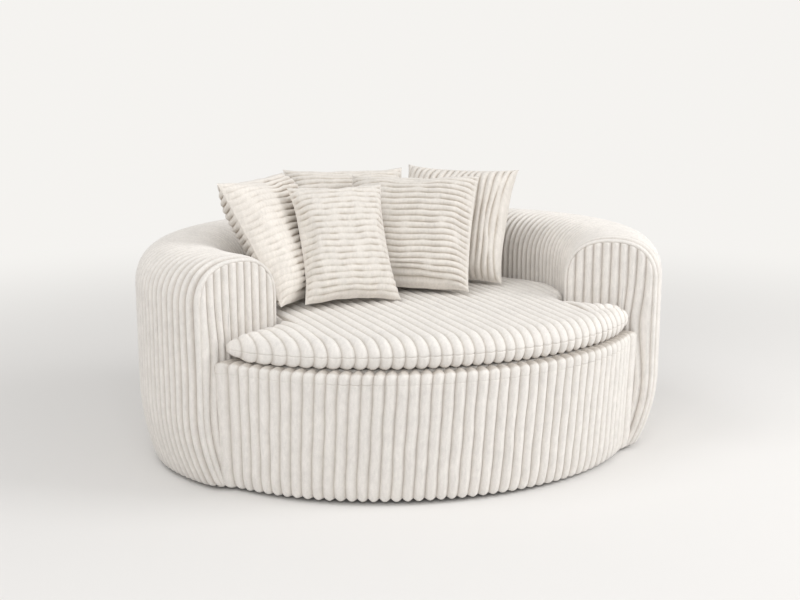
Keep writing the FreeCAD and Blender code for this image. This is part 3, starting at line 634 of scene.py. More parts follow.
def panel_piece(name, side):
    """The arch-shaped end of an arm: upright wales that bulge forward, inside the border.

    Point = arm end plane at an offset and a height; the offset is drawn in over the tuck,
    and a wale stops at the arch, height = shoulder + rise * (1 - offset^p)^(1 / p). Towards
    the border and the hem the face falls back on a quarter circle, and beside the seat's
    tip the wales are drawn together and in by a bell-shaped pinch, exp(-a^2 - b^2).
    """
    angle = -ARM_END if side > 0 else math.pi + ARM_END
    count = round(2.0 * PANEL_HALF / PANEL_PITCH)
    across, relief = wale_rows(np.linspace(-PANEL_HALF, PANEL_HALF, count + 1))
    across, relief = across[:, None], relief[:, None]
    share = np.clip(np.abs(across) / PANEL_HALF, 0.0, 1.0)
    arch = np.maximum(0.0, 1.0 - share**ARCH_POWER) ** (1.0 / ARCH_POWER)
    top = WRAP_SHOULDER + PANEL_RISE * arch
    drum = base_edge(angle) - wrap_edge(angle) + WRAP_HALF
    beside_drum = across > drum - PANEL_IN_DRUM
    bottom = np.where(beside_drum, HEM_HEIGHT, DECK_HEIGHT - PANEL_BELOW_DECK)
    z = bottom + (top - bottom) * np.sin(np.linspace(0.0, math.pi / 2, PANEL_POINTS))
    tuck = (TUCK_DEPTH + END_TUCK) * tucked(z, TUCK_HEIGHT)
    width = (across + PANEL_HALF) / (2.0 * PANEL_HALF)
    inner = 1.0 - share**4
    from_drum = (across - drum - PINCH_WIDE / 2.0) / PINCH_WIDE
    pinch = np.exp(-(((z - PINCH_HEIGHT) / PINCH_TALL) ** 2) - from_drum**2) * inner
    wander = sway(PANEL_WANDER, across, z, side) * inner
    off = across - tuck * width + wander - PINCH_PULL * pinch
    low = np.broadcast_to(1.0 - relief, z.shape)
    bulge = panel_bulge(share, z)
    edge = (WALE_DEPTH + PANEL_EDGE_SINK) * (1.0 - bulge)
    hem_share = np.clip((z - HEM_HEIGHT) / HEM_ROUND, 0.0, 1.0)
    hem_in = HEM_ROUND * (1.0 - np.sqrt(1.0 - (1.0 - hem_share) ** 2))
    depth = PANEL_SINK + WALE_DEPTH * low * bulge + edge + hem_in + PINCH_SINK * pinch
    plane = around(wrap_edge(angle) - WRAP_HALF + off, angle, z)
    forward = side * np.array([math.sin(angle), -math.cos(angle), 0.0])
    face = plane - forward * depth[..., None]
    behind = plane - forward * PANEL_THICKNESS
    # Painted shade: the valleys darken, and the face darkens fully where it falls back towards the
    # border and the hem
    shade = np.maximum(low * bulge, 1.0 - bulge)
    points, valley = lined(face, shade, behind[:, ::-1])
    return closed_tube(name, points[:, ::-1], valley[:, ::-1], side)


def deck_piece():
    """The padded deck under the cushion: rings whose height falls by dip * (1 - r^2)."""
    angle = np.linspace(0.0, 2.0 * math.pi, DECK_POINTS + 1)[:-1]
    inside_wrap = (angle + ARM_END) % (2.0 * math.pi) < math.pi + 2.0 * ARM_END
    rear = wrap_edge(angle) - 2.0 * WRAP_HALF - DECK_GAP
    edge = np.where(inside_wrap, rear, base_edge(angle) - DECK_INSET)
    share = np.linspace(1.0, DECK_HUB, DECK_RINGS)[:, None]
    top = around(share * edge, angle, DECK_HEIGHT - DECK_GAP - DECK_DIP * (1.0 - share**2))
    under = top[:1].copy()
    under[..., 2] = DECK_HEIGHT - DECK_PAD
    centre = under * np.array([DECK_HUB, DECK_HUB, 1.0])
    points = np.concatenate([centre, under, top])
    return closed_tube("deck_pad", points, np.zeros(points.shape[:2]))


def oval_crossings(half_width, reach, s):
    """Where a line along the seat's wales, s from the middle, crosses an oval.

    With x = s cos a - t sin a and y = s sin a + t cos a, the places t solve
    (x / half width)^2 + (y / reach)^2 = 1.
    """
    square = (SEAT_SIN / half_width) ** 2 + (SEAT_COS / reach) ** 2
    slope = s * SEAT_SIN * SEAT_COS * (reach**-2 - half_width**-2)
    rest = s**2 * ((SEAT_COS / half_width) ** 2 + (SEAT_SIN / reach) ** 2) - 1.0
    root = np.sqrt(np.maximum(0.0, slope**2 - square * rest))
    return (-slope - root) / square, (-slope + root) / square


def seat_front(s):
    """Front edge of the cushion: the near crossing with its own oval."""
    return oval_crossings(SEAT_HALF_WIDTH, SEAT_FRONT_REACH, s)[0]


def seat_round(s):
    """Front and back of the round part of the cushion: both crossings inside the wrap."""
    return oval_crossings(ROUND_HALF_WIDTH, ROUND_REACH, s)


def ear_back(s):
    """Back edge of an ear: a straight line beside the arm's end, on either side."""
    slope = np.sign(s) * math.tan(ARM_END)
    gap = EAR_GAP / math.cos(ARM_END)
    return -(gap + s * (SEAT_SIN + slope * SEAT_COS)) / (SEAT_COS - slope * SEAT_SIN)


def ear_nose(s, split):
    """Rounding beside the arm's end: it grows from a fifth to all over the first 5 cm."""
    return EAR_NOSE * np.clip((s - split) / EAR_GROWTH, EAR_LEAST, 1.0)


def crossing(curve, low, high):
    """The place between two others where a falling difference reaches zero, by halving."""
    for _ in range(HALVINGS):
        middle = (low + high) / 2.0
        low, high = (middle, high) if curve(middle) > 0.0 else (low, middle)
    return low


def seat_loops(s, relief, front, back, front_nose, back_nose, share):
    """Closed outlines of the cushion in planes along its wales, one for each s.

    Each end is a quarter of an ellipse from the bottom up to the seam and a larger one
    from there to the top. The top is raised by crown * 4 u (1 - u) and falls towards the
    sides by droop * |s / half width|^2.5, and a wale's valley lies inside by its depth.
    """
    calm = 1.0 - CALM_SHARE * np.clip((np.abs(s) - CALM_START) / CALM_REACH, 0.0, 1.0)
    depth = SEAT_DEPTH * (1.0 - relief) * share * calm
    droop = SEAT_DROOP / 2.0 * np.abs(s / SEAT_HALF_WIDTH) ** DROOP_POWER
    half = (SEAT_THICKNESS / 2.0 - droop) * share - depth
    crown = SEAT_CROWN * (1.0 - (s / SEAT_HALF_WIDTH) ** 2) * share
    front, back = front + depth, back - depth
    limit = (back - front) * NOSE_LIMIT
    front_nose, back_nose = np.minimum(front_nose, limit), np.minimum(back_nose, limit)
    rows = s, SEAT_MIDDLE - droop, half, crown, front, back, front_nose, back_nose
    s, middle, half, crown, front, back, front_nose, back_nose = (row[:, None] for row in rows)
    even = np.linspace(-math.pi / 2, math.pi / 2, SEAT_END_POINTS)
    turn = np.sort(np.append(even, SEAM_TURNS))
    inward = 1.0 - np.cos(turn)
    seam_line = np.exp(-((turn / SEAM_TURN) ** 2))
    under = np.minimum(UNDER_NOSE, front_nose)
    nose = np.where(turn < 0.0, under, front_nose)
    front_t = front + nose * inward + SEAM_DEPTH * seam_line
    back_t = back - back_nose * inward - SEAM_DEPTH * seam_line
    reach = np.where(turn < 0.0, 2.0 * SEAT_SEAM, 2.0 - 2.0 * SEAT_SEAM) * half
    end_z = middle - half * (1.0 - 2.0 * SEAT_SEAM) + reach * np.sin(turn)
    step = np.linspace(0.0, 1.0, SEAT_TOP_POINTS + 2)[1:-1]
    top_start, top_end = front + front_nose, back - back_nose
    top_t = top_start + (top_end - top_start) * step
    top_z = middle + half + crown * (4.0 * step * (1.0 - step))
    low_step = np.linspace(1.0, 0.0, SEAT_UNDER_POINTS)[1:-1]
    low_t = front + under + (top_end - front - under) * low_step
    low_z = np.broadcast_to(middle - half, low_t.shape)
    t = np.concatenate([front_t, top_t, back_t[:, ::-1], low_t], axis=1)
    z = np.concatenate([end_z, top_z, end_z[:, ::-1], low_z], axis=1)
    waver = s + sway(SEAT_WANDER, s, t)
    x = waver * SEAT_COS - t * SEAT_SIN
    y = waver * SEAT_SIN + t * SEAT_COS
    # Painted shade in the valleys, along the seam and under the cushion's nose
    valley = np.broadcast_to((1.0 - relief)[:, None], t.shape).copy()
    underside_shade = np.clip((-turn - UNDER_TURN) / UNDER_FADE, 0.0, 1.0)
    shaded = np.maximum(SEAM_SHADE * seam_line, underside_shade)
    valley[:, : turn.size] = np.maximum(valley[:, : turn.size], shaded)
    return np.stack([x, y, z], axis=2), valley


def seat_stations(start, end):
    """Places of whole wales, a pitch apart, from one side of a shell to the other."""
    count = max(1, round(abs(end - start) / SEAT_PITCH))
    return wale_rows(np.linspace(start, end, count + 1))


def seat_shell(side, s, relief, *shape):
    """One closed shell of the cushion: its outlines, in order from left to right."""
    points, valley = seat_loops(side * s, relief, *shape)
    return closed_tube("seat_shell", points, valley, side)


def seat_ear(side, split):
    """The shell from the arm's end out to the cushion's tip, thinner as it narrows."""
    tip = crossing(
        lambda u: ear_back(side * u) - seat_front(side * u) - TIP_LENGTH, split, SEAT_HALF_WIDTH
    )
    s, relief = seat_stations(split, tip)
    front, back = seat_front(side * s), ear_back(side * s)
    span = np.maximum(back - front, TIP_LENGTH)
    share = np.sqrt(np.minimum(1.0, span / (EAR_TAPER * EAR_NOSE)))
    nose = np.full(s.size, SEAT_NOSE)
    return seat_shell(side, s, relief, front, back, nose, ear_nose(s, split), share)


def seat_shoulder(side, split, limit):
    """The shell behind the arm's end, rounded down to its side: sqrt(1 - outwards^2)."""
    s, relief = seat_stations(split, limit - TIP_LENGTH)
    outwards = np.clip((s - (limit - EAR_NOSE)) / EAR_NOSE, 0.0, 1.0)
    share = np.sqrt(np.maximum(SHOULDER_LEAST, 1.0 - outwards**2))
    nose = np.full(s.size, BACK_NOSE)
    return seat_shell(side, s, relief, *seat_round(side * s), ear_nose(s, split), nose, share)


def seat_parts():
    """The cushion as overlapping closed shells: its middle, two ears and two shoulders."""
    splits, parts = {}, []
    limit = math.hypot(ROUND_HALF_WIDTH * SEAT_COS, ROUND_REACH * SEAT_SIN)
    for side in (-1.0, 1.0):
        split = crossing(
            lambda u: ear_back(side * u) - seat_round(side * u)[0],
            SPLIT_MARGIN, limit - SPLIT_MARGIN,
        )
        splits[side] = split
        parts.append(seat_ear(side, split))
        parts.append(seat_shoulder(side, split, limit))
    s, relief = seat_stations(-splits[-1.0], splits[1.0])
    noses = np.full(s.size, SEAT_NOSE), np.full(s.size, BACK_NOSE)
    edges = seat_front(s), seat_round(s)[1]
    parts.append(seat_shell(1.0, s, relief, *edges, *noses, np.ones(s.size)))
    return parts


def joined(name, parts):
    """Several objects as one, under the first one's mesh."""
    bpy.ops.object.select_all(action="DESELECT")
    for part in parts:
        part.select_set(True)
    bpy.context.view_layer.objects.active = parts[0]
    bpy.ops.object.join()
    parts[0].name = name
    parts[0].data.name = name
    return parts[0]


def cell_quads(index, order):
    """Quads of a grid of point numbers, with each cell's corners in the given order."""
    corners = index[:-1, :-1], index[:-1, 1:], index[1:, 1:], index[1:, :-1]
    return np.stack([corners[place] for place in order], axis=-1).reshape(-1, 4)


def sewn(front, back, back_order):
    """Two grids that share their edge points: points, quads and the back's point numbers."""
    rows, columns = front.shape[:2]
    index = np.arange(rows * columns).reshape(rows, columns)
    inner = np.arange((rows - 2) * (columns - 2)).reshape(rows - 2, columns - 2)
    back_index = index.copy()
    back_index[1:-1, 1:-1] = inner + rows * columns
    points = np.concatenate([front.reshape(-1, 3), back[1:-1, 1:-1].reshape(-1, 3)])
    faces = np.concatenate([cell_quads(index, FRONT_ORDER), cell_quads(back_index, back_order)])
    return points, faces, back_index


def quilt(half_wide, half_high, half_thick):
    """The two faces of a pillow before it is stuffed, sewn together round the edge.

    Across = u * half width * (1 - 0.025 (1 - v^2)), up likewise, and each face is raised
    by half thickness * ((1 - u^4)(1 - v^4))^0.6.
    """
    even = np.linspace(-math.pi / 2, math.pi / 2, QUILT + 1)
    line = np.sin(even * QUILT_BUNCH) / math.sin(math.pi / 2 * QUILT_BUNCH)
    v, u = np.meshgrid(line, line, indexing="ij")
    across = u * half_wide * (1.0 - QUILT_PULL * (1.0 - v**2))
    up = v * half_high * (1.0 - QUILT_PULL * (1.0 - u**2))
    bulge = half_thick * ((1.0 - u**4) * (1.0 - v**4)) ** QUILT_POWER
    return line, np.stack([across, -bulge, up], axis=2), np.stack([across, bulge, up], axis=2)


def simulated(obj):
    """Places of a closed mesh's points after a cloth simulation: pressure, no gravity."""
    bpy.context.view_layer.objects.active = obj
    cloth = obj.modifiers.new("stuffing", "CLOTH")
    cloth.settings.quality = CLOTH_QUALITY
    cloth.settings.mass = CLOTH_MASS
    cloth.settings.tension_stiffness = CLOTH_STIFFNESS
    cloth.settings.compression_stiffness = CLOTH_STIFFNESS
    cloth.settings.shear_stiffness = CLOTH_SHEAR
    cloth.settings.bending_stiffness = CLOTH_BENDING
    cloth.settings.use_pressure = True
    cloth.settings.uniform_pressure_force = STUFFING_PRESSURE
    cloth.settings.effector_weights.gravity = 0.0
    cloth.point_cache.frame_start = 1
    cloth.point_cache.frame_end = STUFFING_FRAMES
    for number in range(1, STUFFING_FRAMES + 1):
        bpy.context.scene.frame_set(number)
    settled = obj.evaluated_get(bpy.context.evaluated_depsgraph_get())
    mesh = settled.to_mesh()
    places = np.empty(len(mesh.vertices) * 3, np.float32)
    mesh.vertices.foreach_get("co", places)
    settled.to_mesh_clear()
    return places.reshape(-1, 3).astype(float)


def stuffed(front, back):
    """The quilt blown up by simulation: each point's way is capped, then smoothed."""
    points, faces, back_index = sewn(front, back, QUILT_BACK_ORDER)
    obj = make_mesh("quilt", points, faces, np.zeros(len(points)))
    moved = simulated(obj) - points
    bpy.data.objects.remove(obj)
    bpy.context.scene.frame_set(1)
    length = np.linalg.norm(moved, axis=1, keepdims=True)
    moved = moved * np.minimum(1.0, STUFFING_LIMIT / np.maximum(length, TINY))
    front_moved = smoothed(moved[: front[..., 0].size].reshape(front.shape))
    back_moved = smoothed(moved[back_index])
    for edge in ((0,), (-1,), (slice(None), 0), (slice(None), -1)):
        back_moved[edge] = front_moved[edge]
    return front + front_moved, back + back_moved


def smoothed(field):
    """A field on a grid, each value drawn half way to the mean of its four neighbours."""
    for _ in range(SMOOTHING_ROUNDS):
        wide = np.pad(field, ((1, 1), (1, 1), (0, 0)), mode="edge")
        mean = (wide[:-2, 1:-1] + wide[2:, 1:-1] + wide[1:-1, :-2] + wide[1:-1, 2:]) / 4.0
        field = (field + mean) / 2.0
    return field


def cubic_weights(coarse, fine):
    """Rows of weights that read a line of values at new places with a smooth cubic.

    It passes through the values, and its slope at each is half the rise from the value
    before to the value after.
    """
    count = coarse.size
    place = np.interp(fine, coarse, np.arange(count))
    cell = np.clip(np.floor(place).astype(int), 0, count - 2)
    t = place - cell
    weights = np.zeros((fine.size, count))
    parts = (-0.5 * t + t**2 - 0.5 * t**3, 1.0 - 2.5 * t**2 + 1.5 * t**3,
             0.5 * t + 2.0 * t**2 - 1.5 * t**3, -0.5 * t**2 + 0.5 * t**3)
    rows = np.arange(fine.size)
    for shift, part in zip((-1, 0, 1, 2), parts):
        np.add.at(weights, (rows, np.clip(cell + shift, 0, count - 1)), part)
    return weights


def pillow_faces(half_wide, half_high, half_thick):
    """The two faces before their wales: quilted, stuffed, and scaled to the pillow's size."""
    line, front, back = quilt(half_wide, half_high, half_thick * QUILT_THICKNESS)
    front, back = stuffed(front, back)
    both = np.concatenate([front.reshape(-1, 3), back.reshape(-1, 3)])
    low, high = both.min(axis=0), both.max(axis=0)
    scale = 2.0 * np.array([half_wide, half_thick, half_high]) / (high - low)
    centre = (low + high) / 2.0
    return line, (front - centre) * scale, (back - centre) * scale


def ribbed(face, sign, line, u, v, low, upright, depths, seed):
    """A pillow's face on a fine grid with its valleys, and the share of painted valley shade
    there.

    Point = smooth cubic through the face, moved in along the normal by depth * valley *
    edge fade * unevenness, and swayed a little across its wales.
    """
    points = np.einsum("ia,abk,jb->ijk", cubic_weights(line, v), face, cubic_weights(line, u))
    v, u = np.meshgrid(v, u, indexing="ij")
    low = np.broadcast_to(low, u.shape)
    fade = np.clip((1.0 - np.maximum(np.abs(u), np.abs(v))) / EDGE_FADE, 0.0, 1.0)
    middle, on_u, on_v = CHANGE
    change = np.clip(middle + on_u * u + on_v * v, 0.0, 1.0) if sign > 0.0 else BACK_CHANGE
    soft = 1.0 + sway(PILLOW_SWELL, u + FACE_SHIFT * sign, v, seed)
    soft = soft * (depths[0] + (depths[1] - depths[0]) * change**2)
    depth = PILLOW_DEPTH * low * fade * soft
    points = points + sign * normals_of(points) * depth[..., None]
    points[..., 0 if upright else 2] += sway(PILLOW_WANDER, u, v, seed)
    # Painted shade: deeper valleys get darker, and less dark beside the edge
    shade = low**PILLOW_SHADE * (EDGE_SHADE + (1.0 - EDGE_SHADE) * fade)
    return points, shade * np.minimum(soft, 1.0)


def pillow_axes(turn, lean, roll):
    """Directions across, inwards and up the face of a pillow that leans back."""
    turn, lean, roll = (math.radians(value) for value in (turn, lean, roll))
    flat_across = Vector((math.cos(turn), math.sin(turn), 0.0))
    flat_out = Vector((math.sin(turn), -math.cos(turn), 0.0))
    flat_up = Vector((0.0, 0.0, math.cos(lean))) - flat_out * math.sin(lean)
    out = flat_out * math.cos(lean) + Vector((0.0, 0.0, math.sin(lean)))
    across = flat_across * math.cos(roll) + flat_up * math.sin(roll)
    up = flat_up * math.cos(roll) - flat_across * math.sin(roll)
    return np.array([across, -out, up])


def pillow_piece(name, turn, lean, roll, width, height, thickness, upright, depths, seed):
    """A loose pillow: two stuffed faces with wales, sewn together at a narrow edge."""
    line, front, back = pillow_faces(width / 2, height / 2, thickness / 2)
    count = round((width if upright else height) / PILLOW_PITCH)
    ribs, relief = wale_rows(np.linspace(-1.0, 1.0, count + 1))
    other = np.sin(np.linspace(-math.pi / 2, math.pi / 2, PILLOW_POINTS))
    u, v = (ribs, other) if upright else (other, ribs)
    low = 1.0 - (relief[None, :] if upright else relief[:, None])
    face, shade = ribbed(front, 1.0, line, u, v, low, upright, depths, seed)
    rear, rear_shade = ribbed(back, -1.0, line, u, v, low, upright, depths, seed)
    points, faces, _ = sewn(face, rear, PILLOW_BACK_ORDER)
    valley = np.concatenate([shade.ravel(), rear_shade[1:-1, 1:-1].ravel()])
    low_corner, high_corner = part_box("pillow_" + name + "_cover")
    middle = np.array((low_corner + high_corner) / 2.0)
    placed = points @ pillow_axes(turn, lean, roll) + middle
    return make_mesh("pillow_" + name + "_cushion", placed, faces, valley)


def feed(tree, node, values):
    """Gives each named or numbered socket of a node a value of its own, or a link."""
    for label, value in values.items():
        if isinstance(value, bpy.types.NodeSocket):
            tree.links.new(value, node.inputs[label])
        else:
            node.inputs[label].default_value = value


def node_group(name, inputs, outputs):
    """An empty shader group with named sockets, each with its type."""
    group = bpy.data.node_groups.new(name, "ShaderNodeTree")
    for way, sockets in (("INPUT", inputs), ("OUTPUT", outputs)):
        for label, kind in sockets.items():
            group.interface.new_socket(name=label, in_out=way, socket_type="NodeSocket" + kind)
    return group, group.nodes.new("NodeGroupInput"), group.nodes.new("NodeGroupOutput")


def noise(tree, place, scale, detail, roughness):
    """Soft noise between 0 and 1 at a place, finer with a larger scale."""
    node = tree.nodes.new("ShaderNodeTexNoise")
    values = {"Vector": place, "Scale": scale, "Detail": detail, "Roughness": roughness}
    feed(tree, node, values)
    return node.outputs["Fac"]


def math_node(tree, operation, *values):
    """The result of one step of arithmetic on numbers or sockets."""
    node = tree.nodes.new("ShaderNodeMath")
    node.operation = operation
    feed(tree, node, dict(enumerate(values)))
    return node.outputs[0]


def vector_node(tree, operation, values):
    """A node that works on whole vectors or colours, with its sockets fed."""
    node = tree.nodes.new("ShaderNodeVectorMath")
    node.operation = operation
    feed(tree, node, values)
    return node


def uneven(tree, value, share):
    """A value between 0 and 1 as an unevenness about 0: (value - 1/2) * share."""
    return math_node(tree, "MULTIPLY", math_node(tree, "SUBTRACT", value, 0.5), share)


def blend_colours(tree, factor, first, second):
    """One colour where the factor is 0 and another where it is 1."""
    node = tree.nodes.new("ShaderNodeMix")
    node.data_type = "RGBA"
    feed(tree, node, {0: factor, 6: first, 7: second})
    return node.outputs[2]


def blend_shaders(tree, factor, first, second):
    """One shader where the factor is 0 and another where it is 1."""
    node = tree.nodes.new("ShaderNodeMixShader")
    feed(tree, node, {0: factor, 1: first, 2: second})
    return node.outputs[0]


def bump(tree, height, distance, strength):
    """A normal tilted by a height map of the given depth."""
    node = tree.nodes.new("ShaderNodeBump")
    feed(tree, node, {"Height": height, "Distance": distance, "Strength": strength})
    return node.outputs["Normal"]


def object_coordinates(tree):
    """Places on a piece in the chair's own frame."""
    return tree.nodes.new("ShaderNodeTexCoord").outputs["Object"]


def principled(name):
    """A new material, its node tree and its shader."""
    material = bpy.data.materials.new(name)
    material.use_nodes = True
    return material, material.node_tree, material.node_tree.nodes["Principled BSDF"]


def pile_group():
    """Cut pile: brushed patches, fine fibres, streaks, and painted shade that makes the valleys
    darker and warmer.

    Colour = blend of crest colour and painted valley shade by valley^2.5, times 1 + patches +
    fibres + streaks.
    """
    group, inputs, outputs = node_group(
        "cut_pile",
        {
            "Coordinates": "Vector", "Valley": "Float", "Crest Colour": "Color",
            "Valley Shade Colour": "Color", "Brushed": "Float", "Patch Scale": "Float",
            "Fibre Scale": "Float", "Streaks": "Float",
        },
        {"Colour": "Color", "Roughness": "Float", "Height": "Float"},
    )
    given = inputs.outputs
    place = given["Coordinates"]
    # Painted shade: the valley mask darkens the crest colour towards the valley colour
    deep = math_node(group, "POWER", given["Valley"], VALLEY_SHADE_POWER)
    base = blend_colours(group, deep, given["Crest Colour"], given["Valley Shade Colour"])
    patch = noise(group, place, given["Patch Scale"], *PATCH_NOISE)
    fibre = noise(group, place, given["Fibre Scale"], *FIBRE_NOISE)
    stretched = vector_node(group, "MULTIPLY", {0: place, 1: STREAK_STRETCH}).outputs[0]
    streak = uneven(group, noise(group, stretched, STREAK_SCALE, *STREAK_NOISE), given["Streaks"])
    fine = math_node(group, "ADD", uneven(group, fibre, FIBRE_SHARE), streak)
    factor = math_node(group, "ADD", uneven(group, patch, given["Brushed"]), fine)
    factor = math_node(group, "ADD", factor, 1.0)
    tone = vector_node(group, "SCALE", {0: base, "Scale": factor}).outputs[0]
    rough = math_node(group, "MULTIPLY_ADD", patch, *PILE_ROUGHNESS)
    feed(group, outputs, {"Colour": tone, "Roughness": rough, "Height": fibre})
    return group


def corduroy_material(name, pile, crest, valley_shade_colour, streaks):
    """Corduroy: the pile on a piece's own places, painted shade in its valleys from the mesh, and
    a sheen.
    """
    material, tree, shader = principled(name)
    node = tree.nodes.new("ShaderNodeGroup")
    node.node_tree = pile
    valley = tree.nodes.new("ShaderNodeAttribute")
    valley.attribute_name = "valley"
    look = {"Crest Colour": crest, "Valley Shade Colour": valley_shade_colour, "Streaks": streaks}
    given = {"Coordinates": object_coordinates(tree), "Valley": valley.outputs["Fac"]}
    feed(tree, node, look | PILE | given)
    normal = bump(tree, node.outputs["Height"], *PILE_BUMP)
    made = {"Base Color": node.outputs["Colour"], "Roughness": node.outputs["Roughness"]}
    feed(tree, shader, made | {"Normal": normal} | PILE_SHEEN)
    return material


def weave_height(tree, place, scale):
    """Two crossed sets of threads: the larger of two waves at right angles."""
    waves = []
    for axis in ("X", "Y"):
        wave = tree.nodes.new("ShaderNodeTexWave")
        wave.bands_direction = axis
        feed(tree, wave, {"Vector": place, "Scale": scale})
        waves.append(wave.outputs["Fac"])
    return math_node(tree, "MAXIMUM", *waves)


def cloth_material(name, light, dark, scale):
    """Plain woven cloth: light threads with dark gaps between them."""
    material, tree, shader = principled(name)
    threads = weave_height(tree, object_coordinates(tree), scale)
    colour = blend_colours(tree, threads, dark, light)
    normal = bump(tree, threads, *CLOTH_BUMP)
    feed(tree, shader, {"Base Color": colour, "Normal": normal, "Roughness": CLOTH_ROUGHNESS})
    return material


def timber_material(name, light, dark, stretch):
    """Bare timber: noise squeezed along the axes into grain."""
    material, tree, shader = principled(name)
    mapping = tree.nodes.new("ShaderNodeMapping")
    feed(tree, mapping, {"Vector": object_coordinates(tree), "Scale": stretch})
    grain = noise(tree, mapping.outputs["Vector"], GRAIN_SCALE, *GRAIN_NOISE)
    colour = blend_colours(tree, grain, dark, light)
    rough = math_node(tree, "MULTIPLY_ADD", grain, *TIMBER_ROUGHNESS)
    normal = bump(tree, grain, *TIMBER_BUMP)
    feed(tree, shader, {"Base Color": colour, "Roughness": rough, "Normal": normal})
    return material


def hard_material(name, colour, roughness, metallic, scale):
    """Plastic or metal: one colour that noise darkens a little, and fine scratches."""
    material, tree, shader = principled(name)
    grain = noise(tree, object_coordinates(tree), scale, *HARD_NOISE)
    darker = tuple(HARD_DARKER * value for value in colour[:3]) + (1.0,)
    mixed = blend_colours(tree, grain, darker, colour)
    rough = math_node(tree, "MULTIPLY_ADD", grain, HARD_UNEVEN, roughness)
    normal = bump(tree, grain, *HARD_BUMP)
    feed(tree, shader, {"Base Color": mixed, "Roughness": rough, "Normal": normal})
    shader.inputs["Metallic"].default_value = metallic
    return material


def dress(obj, material, body):
    """Finish, body and slot of a new piece."""
    obj.data.materials.clear()
    obj.data.materials.append(material)
    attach(obj, body)


def finish_nodes(finishes):
    """Gives every CAD node the finish of its record slot."""
    slots = {entry["node"]: entry["material_slot"] for entry in frame["record"]["subparts"]}
    for name, obj in frame["nodes"].items():
        obj.data.materials.clear()
        obj.data.materials.append(finishes[slots[name]])


def seen_directly(tree):
    """1 for rays from the camera, or through gloss or glass, and 0 for light on things."""
    rays = tree.nodes.new("ShaderNodeLightPath").outputs
    seen = math_node(tree, "MAXIMUM", rays["Is Camera Ray"], rays["Is Glossy Ray"])
    return math_node(tree, "MAXIMUM", seen, rays["Is Transmission Ray"])


def floor_material():
    """A pale floor that keeps the soft shadow and fades into the backdrop further out."""
    material, tree, shader = principled("pale_floor")
    feed(tree, shader, FLOOR_LOOK)
    glow = tree.nodes.new("ShaderNodeEmission")
    glow.inputs["Color"].default_value = BACKDROP
    distance = vector_node(tree, "LENGTH", {0: object_coordinates(tree)}).outputs["Value"]
    far = tree.nodes.new("ShaderNodeMapRange")
    far.interpolation_type = "SMOOTHSTEP"
    feed(tree, far, FLOOR_FADE | {"Value": distance})
    share = math_node(tree, "MULTIPLY", far.outputs["Result"], seen_directly(tree))
    mixed = blend_shaders(tree, share, shader.outputs[0], glow.outputs[0])
    feed(tree, tree.nodes["Material Output"], {"Surface": mixed})
    return material


def make_floor():
    """The floor: one large square."""
    mesh = bpy.data.meshes.new("floor")
    corners = [(-1, -1, 0), (1, -1, 0), (1, 1, 0), (-1, 1, 0)]
    mesh.from_pydata((FLOOR_REACH * np.array(corners)).tolist(), [], [(0, 1, 2, 3)])
    mesh.materials.append(floor_material())
    floor = new_object("floor", mesh)


def make_world():
    """An even surround that lights softly, and that the camera sees as the backdrop."""
    world = bpy.data.worlds.new("studio")
    bpy.context.scene.world = world
    world.use_nodes = True
    tree = world.node_tree
    light = tree.nodes["Background"]
    feed(tree, light, WORLD_LIGHT)
    plain = tree.nodes.new("ShaderNodeBackground")
    feed(tree, plain, {"Color": BACKDROP, "Strength": 1.0})
    mixed = blend_shaders(tree, seen_directly(tree), light.outputs[0], plain.outputs[0])
    feed(tree, tree.nodes["World Output"], {"Surface": mixed})


def make_lamps():
    """Three soft square lamps that face the chair."""
    for name, (place, size, power) in LAMPS.items():
        lamp = bpy.data.lights.new(name, "AREA")
        lamp.size = size
        lamp.energy = power
        obj = new_object(name, lamp)
        obj.location = place
        obj.rotation_euler = (Vector(AIM) - Vector(place)).to_track_quat("-Z", "Y").to_euler()


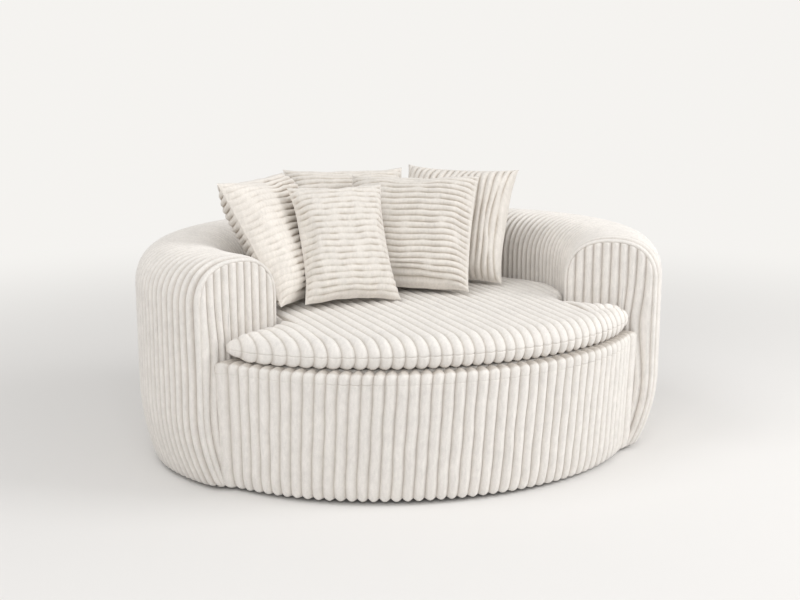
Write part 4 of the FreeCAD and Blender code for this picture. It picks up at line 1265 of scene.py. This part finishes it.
def make_camera():
    """The photograph's view: 17.2 degrees left of the front and 13.4 degrees above."""
    level, rise = math.cos(VIEW_RISE), math.sin(VIEW_RISE)
    back = Vector((math.sin(VIEW_TURN) * level, -math.cos(VIEW_TURN) * level, rise))
    camera = bpy.data.cameras.new("camera")
    camera.sensor_width = SENSOR_WIDTH_MM
    camera.lens = SENSOR_WIDTH_MM * FOCAL_PIXELS / FRAME_PIXELS
    camera.shift_x = SHIFT_PIXELS[0] / FRAME_PIXELS
    camera.shift_y = SHIFT_PIXELS[1] / FRAME_PIXELS
    obj = new_object("camera", camera)
    obj.location = Vector(AIM) + back * VIEW_DISTANCE
    obj.rotation_mode = "QUATERNION"
    obj.rotation_quaternion = (-back).to_track_quat("-Z", "Y")
    bpy.context.scene.camera = obj


def finishes_of(make, looks, *shared):
    """One finish for each named look, in order."""
    return [make(name, *shared, *look) for name, look in looks.items()]


make_camera()
make_floor()
make_world()
make_lamps()
bpy.context.scene.view_settings.view_transform = "Standard"

corduroys = finishes_of(corduroy_material, CORDUROYS, pile_group())
corduroy, pillow_corduroy, brushed_corduroy = corduroys
lining, dark_cloth, webbing = finishes_of(cloth_material, CLOTHS)
plywood, timber = finishes_of(timber_material, TIMBERS)
glide, zinc = finishes_of(hard_material, HARD)

finish_nodes(
    {
        "corduroy": corduroy, "lining": dark_cloth, "padding": lining, "webbing": webbing,
        "plywood": plywood, "timber": timber, "glide_plastic": glide, "zinc_steel": zinc,
    }
)

for number, name in enumerate(("right_arm", "back", "left_arm")):
    piece = wrap_piece(name + "_cloth", number)
    dress(piece, corduroy, "base")
    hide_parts(name + "_cover", name + "_foam")
for name, side in (("right_arm", 1.0), ("left_arm", -1.0)):
    piece = panel_piece(name + "_panel_cloth", side)
    dress(piece, corduroy, "base")
    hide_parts(name + "_panel")
piece = front_piece()
dress(piece, corduroy, "base")
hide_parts("front_cover", "front_foam")
piece = deck_piece()
dress(piece, lining, "base")
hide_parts("deck_cover", "deck_foam")
piece = joined("seat_cushion", seat_parts())
dress(piece, corduroy, "seat_cushion")
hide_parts("seat_cushion_cover", "seat_cushion_core")
for seed, (name, values) in enumerate(PILLOWS.items()):
    piece = pillow_piece(name, *values, seed)
    finish = brushed_corduroy if name == "left" else pillow_corduroy
    dress(piece, finish, "pillow_" + name)
    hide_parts("pillow_" + name + "_cover", "pillow_" + name + "_filling")
